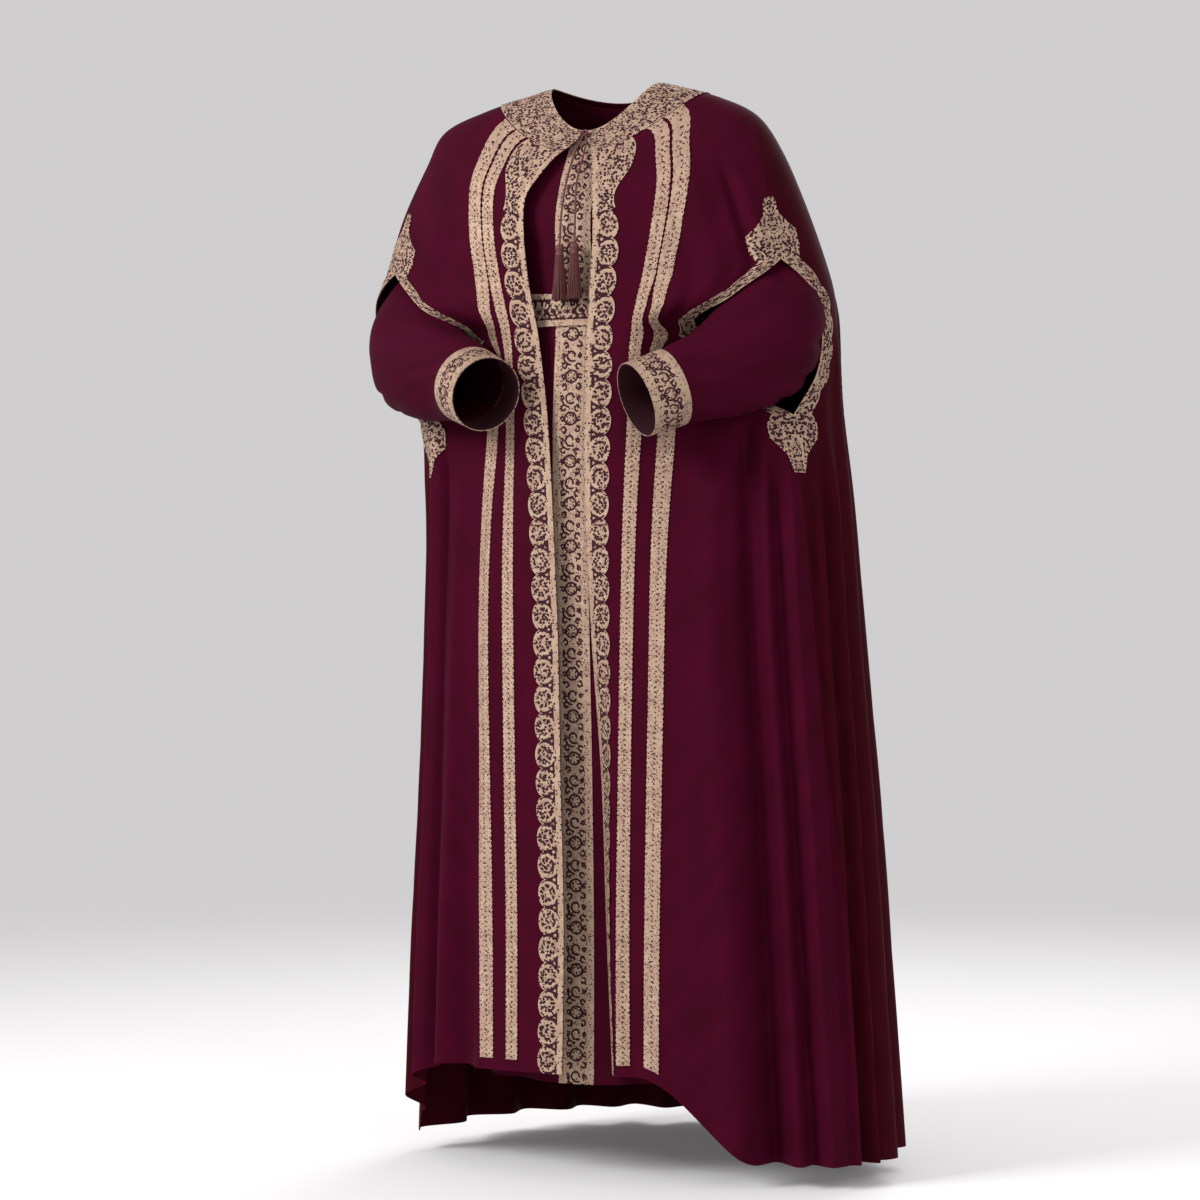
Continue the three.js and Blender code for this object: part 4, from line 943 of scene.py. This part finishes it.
def sleeveGrid(side):
    turn = sleeveTurn(sleeve["sides"])
    degrees = np.degrees(turn)
    fromShoulder = (degrees + 180) % 360
    rows = armholeRow(np.where(fromShoulder <= 180, fromShoulder, 360 - fromShoulder))
    angle = side * (90 - armholeOpening(rows))
    front, back = dressSurface(True)(angle, rows), dressSurface(False)(angle, rows)
    armhole = np.where((fromShoulder <= 180)[:, None], front, back) + (side * 0.7, 0, 0)
    rings = np.array([armhole] + sectionRings(sleeveSections, side, turn))
    station = np.linspace(0, len(rings) - 1, sleeve["steps"])[:, None]
    grid = tableAt(rings, station[:, 0])
    normals = gridNormals(grid, wrapped=True)
    shown = smooth(station, 0.6, 1.6) * (1 - smooth(station, 9.4, 10)) * sleeve["creases"]
    full = smooth(station, 3.2, 4.6) * (1 - smooth(station, 6.6, 8.6)) * sleeve["fullness"]
    relief = sleeveRelief(degrees[None, :], station - 1) * shown + full
    return grid + normals * relief[..., None], normals


def addSleeve(side, hand):
    grid, normals = sleeveGrid(side)
    closed = closedRing(grid)
    print("sleeve", hand, "area", round(outerArea(closed), 3))
    inner = grid - normals * dress["thickness"]
    piece = wallMesh(f"sleeve_{hand}", grid, inner, flatUv(closed), wrapped=True)
    return finish(piece, f"dress_sleeve_{hand}", dressCrepe)


sleeves = {side: addSleeve(side, hand) for side, hand in hands.items()}
print("dress made")


class Strokes:  # sewn lines laid on a trim, as points that the distance is measured from
    def __init__(self, step=0.4):
        self.points = []
        self.step = step

    def line(self, points):
        points = np.asarray(points, float)
        for a, b in zip(points[:-1], points[1:]):
            count = max(int(np.linalg.norm(b - a) / self.step), 1)
            self.points.extend((a + (b - a) * (i / count)).tolist() for i in range(count))
        self.points.append(points[-1].tolist())
        return self

    def arc(self, x, y, radius, start=0, sweep=360, shrink=0.0):
        steps = max(int(abs(math.radians(sweep)) * radius / 0.8), 6)
        turn = np.radians(start + np.linspace(0, sweep, steps))
        r = radius * (1 - shrink * np.linspace(0, 1, steps))
        return self.line(np.stack([x + r * np.cos(turn), y + r * np.sin(turn)], -1))

    def dot(self, x, y):
        self.points.append([x, y])
        return self

    def distance(self, x, y):
        tree = kdtree.KDTree(len(self.points))
        for i, (a, b) in enumerate(self.points):
            tree.insert((a, b, 0), i)
        tree.balance()
        flat = np.stack([x.ravel(), y.ravel()], -1).tolist()
        return np.array([tree.find((a, b, 0))[2] for a, b in flat]).reshape(x.shape)


# repeats a unit of strokes along y, so one unit measures them all
def repeated(motif, pitch, x, y):
    tiled = Strokes()
    for shift in (-pitch, 0, pitch):
        tiled.points.extend([a, b + shift] for a, b in motif.points)
    return tiled.distance(x, np.mod(y, pitch))


trimLift = {"gap": 0.25, "ground": 0.45, "thread": 0.9}


def stitched(field):  # 0 on the ground and 1 on thread
    return smooth(field, -0.35, 0.7)


# A trim on a surface: a grid of places with its thread field, raised where there is thread.
def trimPiece(name, surface, angle, row, uv, field, every=6):
    angle, row = np.broadcast_arrays(angle, row)
    points = surface(angle, row)
    normals = normalsOf(surface, angle, row)
    raised = trimLift["gap"] + trimLift["ground"] + trimLift["thread"] * stitched(field)
    outer = points + normals * raised[..., None]
    inner = points + normals * trimLift["gap"] * 0.4
    last = outer.shape[1] - 1
    keep = np.unique(np.append(np.arange(0, last + 1, every), last))
    return wallMesh(name, outer, inner, uv, keep=keep, field=field)


def spread(*values):  # grids of the same shape from a row, a column or a grid each
    return [np.array(grid) for grid in np.broadcast_arrays(*values)]


def band(x, low, high):  # a field that is thread between two lines
    return np.minimum(x - low, high - x)


def border(distance, width):  # a field that is thread up to a width from an edge
    return np.minimum(width - distance, 2.0)


# the rosette of a scallop: a rim, a ring of holes between curved spokes, and a hub
def rosette(x, y, radius):
    r, turn = np.hypot(x, y), np.arctan2(y, x)
    rim = band(r, radius * 0.80, radius * 1.2)
    spokes = 0.85 - np.abs(np.sin(4.5 * (turn + 0.06 * r))) * r / 4.5
    holes = np.maximum(spokes, band(r, radius * 0.43, radius * 0.53))
    hub = radius * 0.16 - r
    petals = 0.6 - np.abs(np.sin(3 * turn)) * r / 3
    inside = np.maximum(np.maximum(holes, hub), petals)
    return np.where(r < radius * 0.80, np.maximum(inside, rim), rim)


scallop = {"band": 9.0, "radius": 13.4, "centre": 22.2, "bud": 12.5, "lappet": 26, "step": 1.15,
           "columns": 34}


def scallopTrim(side, hand):
    top, bottom = tableAt(capeRings["fore"], cape["yokeRow"] + 0.03), cape["hem"]
    heights = np.arange(top, bottom, -scallop["step"])
    row = rowAtHeight(heights)[:, None]
    pitch = (cape["scallopTop"] - bottom) / cape["scallopCount"]
    down = (cape["scallopTop"] - heights)[:, None]
    phase = np.mod(down, pitch)
    swell = np.sqrt(np.clip(1 - ((phase - pitch / 2) / (pitch / 2)) ** 2, 0, 1))
    edge = blend(cape["scallopNotch"], cape["scallopWidth"], swell)
    lappet = 1 - smooth(down, -8, 0)  # above the scallops the trim is one broad strip of lace
    trim = np.maximum(tableAt(capeMarks["trim"], row), scallop["lappet"])
    width = blend(edge, trim, lappet)
    across, down = spread(np.linspace(0, 1, scallop["columns"])[None, :] * width, down)
    angles = markAngles(side, row)
    angle = blend(angles[0], angles[1], across / np.where(lappet > 0.01, trim, cape["scallopWidth"]))
    wheel = rosette(across - scallop["centre"], phase - pitch / 2, scallop["radius"])
    bud = 1.4 - np.hypot(across - scallop["bud"], np.minimum(phase, pitch - phase)) / 1.6
    field = np.maximum(wheel, np.maximum(band(across, -1, scallop["band"] - 0.8), bud))
    field = np.maximum(field, 2.2 - (width - across))
    upper = int((down[:, 0] < 0).sum())
    field[:upper] = laceNet(across[:upper], down[:upper], hand)
    field = np.maximum(field, border(width - across, 2.6))
    field = np.maximum(field, band(across, -1, 7.5))
    uv = np.stack([across, down], -1)
    piece = trimPiece(f"scallop_lace_{hand}", capeSurface(side), angle, row, uv, field)
    return finish(piece, f"cape_scallops_{hand}", goldLace)


laceCurls = {"pitch": 8.2, "small": 2.9, "large": 4.1, "thread": 0.95}


# curls and buds of lace spread over an area, with no two turned alike
def laceNet(x, y, seed):
    pitch = laceCurls["pitch"]
    grains = np.random.default_rng(sum(map(ord, seed)))
    net = Strokes()
    low, high = (x.min() - pitch, y.min() - pitch), (x.max() + pitch, y.max() + pitch)
    for line, b in enumerate(np.arange(low[1], high[1], pitch * 0.86)):
        for a in np.arange(low[0] + (pitch / 2 if line % 2 else 0), high[0], pitch):
            cx, cy = a + grains.uniform(-0.9, 0.9), b + grains.uniform(-0.9, 0.9)
            start = grains.uniform(0, 360)
            net.arc(cx, cy, laceCurls["small"], start, 300, 0.5)
            net.arc(cx, cy, laceCurls["large"], start + 150, 170, -0.1)
            net.dot(cx, cy)
    return laceCurls["thread"] - net.distance(x, y)


braid = {"pitch": 6.6, "step": 1.6, "columns": 15}


def braidTrim(side, hand, name, first, width):
    top = float(tableAt(capeRings["fore"], cape["yokeRow"] + 0.03))
    heights = np.arange(top, cape["braidEnd"], -braid["step"])
    row = rowAtHeight(heights)[:, None]
    angles = markAngles(side, row)
    down = (top - heights)[:, None]
    pitch = braid["pitch"]
    wave = 0.95 + 0.05 * np.cos(2 * np.pi * down / pitch)
    share = np.linspace(-0.5, 0.5, braid["columns"])[None, :] * wave
    across, down = spread(share * width, down)
    angle = blend(angles[first], angles[first + 1], 0.5 + share)
    dots = np.hypot(across / 1.2, np.mod(down, pitch) - pitch / 2) - 1.25
    ribs = np.abs(np.mod(down - 0.9 * np.abs(across), pitch) - pitch / 2) - 0.25
    field = np.minimum(dots, np.where(np.abs(across) > 2.0, ribs * 0.7 + 0.05, 1.5))
    uv = np.stack([across, down], -1)
    piece = trimPiece(f"{name}_{hand}", capeSurface(side), angle, row, uv, field, every=5)
    return finish(piece, f"cape_{name}_{hand}", goldBraid)


def yokePiece(name, surface, start, end, count):
    rows = 54
    row = np.linspace(0, cape["yokeRow"], rows)[:, None]
    angle = blend(start(row), end(row), np.linspace(0, 1, count)[None, :])
    points = surface(angle, row + 0 * angle)
    down = np.concatenate([[0], np.cumsum(np.linalg.norm(np.diff(points[:, count // 2], axis=0), axis=1))])
    across, down = spread(flatUv(points)[rows // 2, :, 0][None, :], down[:, None])
    field = laceNet(across, down, f"cape_{name}")
    field = np.maximum(field, np.maximum(border(down, 3.2), border(down.max() - down, 2.6)))
    piece = trimPiece(name, surface, angle, row, np.stack([across, down], -1), field)
    return finish(piece, f"cape_{name}", goldLace)


def addYoke():
    def frontYoke(side, hand):
        return yokePiece(f"yoke_{hand}", capeSurface(side), lambda row: markAngles(side, row)[0],
                         lambda row: capeSeam(row) - gapAngle, 140)

    made = {hand: frontYoke(side, hand) for side, hand in hands.items()}
    made["cape"] = yokePiece("yoke_back", capeBackPoint, lambda row: capeSeam(row) + gapAngle,
                             lambda row: 360 - capeSeam(row) - gapAngle, 260)
    return made


# the slit trim's half-width at each height above the slit, and at each depth below it
topFinial = [(83, 4), (76, 8.5), (66, 8.5), (58, 11), (46, 22), (36, 34), (14, 34), (0, 28)]
bottomFinial = [(0, 29), (12, 36), (30, 34), (42, 21), (54, 12), (66, 10), (76, 6)]


slitLace = {"half": 19.5, "wave": 6, "waves": 6, "end": 27, "bead": 1.3, "beadPitch": 6.5, "step": 1.25,
            "columns": 26}


def slitTrim(side, hand, way):
    surface = capeSurface(side)
    topZ, bottomZ = np.interp([slit["top"], slit["bottom"]], rowSteps, seamHeights)
    heights = np.arange(topZ + topFinial[0][0], bottomZ - bottomFinial[-1][0], -slitLace["step"])
    row = seamRow(heights)
    up, down = heights - topZ, bottomZ - heights
    halves = np.where(up > 0, np.interp(up, *zip(*topFinial[::-1])), 0)
    halves = np.where(down > 0, np.interp(down, *zip(*bottomFinial)), halves)
    halves = halves + slitLace["bead"] * np.abs(np.sin(np.pi * np.maximum(up, down) / slitLace["beadPitch"]))
    inside = (up <= 0) & (down <= 0)
    share = np.clip(-up / (topZ - bottomZ), 0, 1)
    wave = slitLace["half"] + slitLace["wave"] * np.abs(np.sin(np.pi * slitLace["waves"] * share))
    toEnd = np.clip(np.minimum(share, 1 - share) / 0.12, 0, 1)
    halves = np.where(inside, blend(slitLace["end"], wave, toEnd), halves)[:, None]
    edge = slitEdge(side, row, way) + way * gapAngle
    perDegree = np.linalg.norm(surface(edge + way, row) - surface(edge, row), axis=-1)[:, None]
    across, along = spread(np.linspace(0, 1, slitLace["columns"])[None, :] * halves, -up[:, None])
    angle = edge[:, None] + way * across / perDegree
    field = laceNet(way * across, along, "slit" + hand)
    field = np.maximum(field, border(halves - across, 2.4))
    field = np.maximum(field, np.where(inside[:, None], border(across, 3.0), -1))
    part = "front" if way < 0 else "back"
    uv = np.stack([across, along], -1)
    piece = trimPiece(f"slit_lace_{part}_{hand}", surface, angle, row[:, None], uv, field)
    return finish(piece, f"slit_trim_{part}_{hand}", goldLace)


# a scroll chain: a rosette and a C-scroll in turn, with curls at both sides
def scrollMotif(pitch, reach):
    motif = Strokes()
    motif.arc(0, pitch * 0.25, reach * 0.62, 60, 300, 0.55)
    motif.arc(0, pitch * 0.25, reach * 0.95, 100, 60)
    for way in (-1, 1):
        for out, down, size, start, sweep in ((0.72, 0.5, 0.30, 90, 250), (0.72, 0.0, 0.30, -90, 250),
                                              (0.86, 0.26, 0.20, 90, 300), (0.86, 0.75, 0.22, -90, 300)):
            motif.arc(way * reach * out, pitch * down, reach * size, start * way, sweep * way, 0.4)
    motif.arc(0, pitch * 0.75, reach * 0.60)
    for a in np.radians(60 * np.arange(6) + 30):
        motif.dot(reach * 0.36 * math.cos(a), pitch * 0.75 + reach * 0.36 * math.sin(a))
    return motif


placketSewing = {"half": 25, "edging": 11, "pitch": 56.0, "reach": 13.5, "step": 1.2, "line": 1.25,
                 "groove": 19.6}


def placket():
    samples = np.linspace(0, dressHem, 1201)
    heights = dress["lift"] + tableAt(dressRings["fore"], samples)
    z = np.append(np.arange(heights[0], heights[-1] - 0.01, -placketSewing["step"]), heights[-1])
    row = np.interp(-z, -heights, samples)[:, None]
    half = placketSewing["half"]
    across, down = spread(np.linspace(-half, half, 43)[None, :], (heights[0] - z)[:, None])
    angle = np.degrees(np.arcsin(across / tableAt(dressRings["reach"], row)))
    motif = scrollMotif(placketSewing["pitch"], placketSewing["reach"])
    scroll = repeated(motif, placketSewing["pitch"], across, down) - placketSewing["line"]
    edging = np.minimum(np.abs(across) - (half - placketSewing["edging"]), 2.0)
    groove = np.abs(np.abs(across) - placketSewing["groove"]) - 0.15
    field = np.where(edging > 0, np.minimum(edging, groove), np.minimum(scroll, 2.0))
    piece = trimPiece("placket", dressSurface(True), angle, row, np.stack([across, down], -1), field)
    return finish(piece, "dress_placket", goldScroll)


belt = {
    "top": 5.74, "bottom": 6.72,  # rows of the dress's rings
    "steps": 560, "rows": 42, "width": 48, "cord": 5, "edge": 36, "pitch": 44.0, "reach": 12.0,
    "middle": 19.5, "inner": 2.0, "outer": 3.3, "thread": 1.0, "edgeRise": 0.5,
}


def beltPiece():
    turn = np.linspace(0, 360, belt["steps"], endpoint=False)[None, :]
    row = np.linspace(belt["top"], belt["bottom"], belt["rows"])[:, None]
    turn, row = np.broadcast_arrays(turn, row)
    left, right = dressPoint(1, np.minimum(turn, 180), row), dressPoint(-1, np.minimum(360 - turn, 180), row)
    points = np.where((turn <= 180)[..., None], left, right)
    along = flatUv(closedRing(points))[20, :, 0]
    wide, y = spread(np.linspace(0, belt["width"], belt["rows"])[:, None], along[None, :])
    x = wide[:, :-1]
    motif = scrollMotif(belt["pitch"], belt["reach"])
    scroll = 1.5 - repeated(motif, belt["pitch"], x - belt["middle"], y[:, :-1])
    cord = np.minimum(np.minimum(x, belt["cord"] - x) + 0.4, 1.2)
    field = np.where(x < belt["cord"], cord, scroll)
    field = np.where(x > belt["edge"], np.minimum(x - belt["edge"], 2.0), field)
    normals = gridNormals(points, wrapped=True)
    raised = belt["outer"] + belt["thread"] * stitched(field) + belt["edgeRise"] * (x > belt["edge"])
    outer = points + normals * raised[..., None]
    inner = points + normals * belt["inner"]
    piece = wallMesh("belt_band", outer, inner, np.stack([wide, y], -1), wrapped=True, field=field)
    return finish(piece, "belt", goldScroll)


cuff = {"sides": 260, "steps": 44, "scrolls": 7, "reach": 13.0, "line": 1.15, "edge": 17.5, "thread": 0.9,
        "wall": 1.2, "tuck": 0.6}


def cuffPiece(side, hand):
    rings = np.array(sectionRings(cuffSections, side, sleeveTurn(cuff["sides"])))
    rings[0] -= cuff["tuck"] * unit(np.array([-side * 17.0, -18.0, -9.0]))  # up towards the sleeve
    grid = tableAt(rings, np.linspace(0, len(rings) - 1, cuff["steps"]))
    flat = flatUv(closedRing(grid))
    wide, along = spread(flat[:, :1, 1], flat[cuff["steps"] // 2, :, 0][None, :])
    pitch = along.max() / cuff["scrolls"]
    x = (wide - wide.max() / 2)[:, :-1]
    scroll = repeated(scrollMotif(pitch, cuff["reach"]), pitch, x, along[:, :-1]) - cuff["line"]
    edging = np.abs(x) - cuff["edge"]
    field = np.minimum(np.where(edging > 0, edging, scroll), 2.0)
    normals = gridNormals(grid, wrapped=True)
    outer = grid + normals * (cuff["thread"] * stitched(field))[..., None]
    inner = grid - normals * cuff["wall"]
    piece = wallMesh(f"cuff_{hand}", outer, inner, np.stack([wide, along], -1), wrapped=True, field=field)
    return finish(piece, f"dress_cuff_{hand}", goldScroll)


trims = {"cape": []}
for side, hand in hands.items():
    trims[hand] = [
        scallopTrim(side, hand),
        braidTrim(side, hand, "braid_inner", 2, cape["innerBraid"]),
        braidTrim(side, hand, "braid_outer", 4, cape["outerBraid"]),
        slitTrim(side, hand, -1),
    ]
    trims["cape"].append(slitTrim(side, hand, 1))
for part, yoke in addYoke().items():
    trims[part].append(yoke)
trims["dress"] = [placket(), beltPiece()]
cuffs = {side: cuffPiece(side, hand) for side, hand in hands.items()}
print("trims made")

studio = {"floor": -1.457, "paper": (0.86, 0.855, 0.86), "world": (0.90, 0.885, 0.895), "worldStrength": 0.70}


def addFloor():  # its edge fades into the backdrop
    middle = (0, 0, studio["floor"])
    bpy.ops.mesh.primitive_circle_add(vertices=96, radius=40, fill_type="NGON", location=middle)
    floor = bpy.context.object
    floor.name = "floor"
    bpy.ops.object.transform_apply(location=True, rotation=True, scale=True)
    material, tree, shader = newMaterial("paper", {"Roughness": 0.9, "Base Color": (*studio["paper"], 1)})
    place = addNode(tree, "ShaderNodeTexCoord").outputs["Object"]
    reach = addNode(tree, "ShaderNodeVectorMath", {0: place}, operation="LENGTH").outputs["Value"]
    limits = {"From Min": 0.5, "From Max": 4.5, "To Min": 1.0, "To Max": 0.0}
    tree.links.new(mapRange(tree, reach, limits, interpolation_type="SMOOTHSTEP"), shader.inputs["Alpha"])
    floor.data.materials.append(material)


lights = {  # place, size in metres, power in watts
    "key": ((-2.4, -3.2, 1.5), 1.7, 185),
    "fill": ((3.2, -2.8, 0.6), 2.6, 50),
    "back": ((0.5, 3.5, 1.8), 2.5, 110),
}


def addLight(name, place, size, power):  # a square lamp turned to the middle of the abaya
    data = bpy.data.lights.new(name, "AREA")
    data.energy = power
    data.size = size
    light = bpy.data.objects.new(name, data)
    scene.collection.objects.link(light)
    light.location = place
    x, y, z = np.array([0, 0, -0.7]) - np.array(place)
    light.rotation_euler = (math.atan2(math.hypot(x, y), -z), 0, math.atan2(y, x) - math.pi / 2)


def addStudio():
    addFloor()
    for name, settings in lights.items():
        addLight(name, *settings)
    world = bpy.data.worlds.new("studio") if scene.world is None else scene.world
    scene.world = world
    world.use_nodes = True
    background = world.node_tree.nodes["Background"]
    background.inputs["Color"].default_value = (*studio["world"], 1)
    background.inputs["Strength"].default_value = studio["worldStrength"]


addStudio()
scene.view_settings.view_transform = "Standard"
print("studio set")
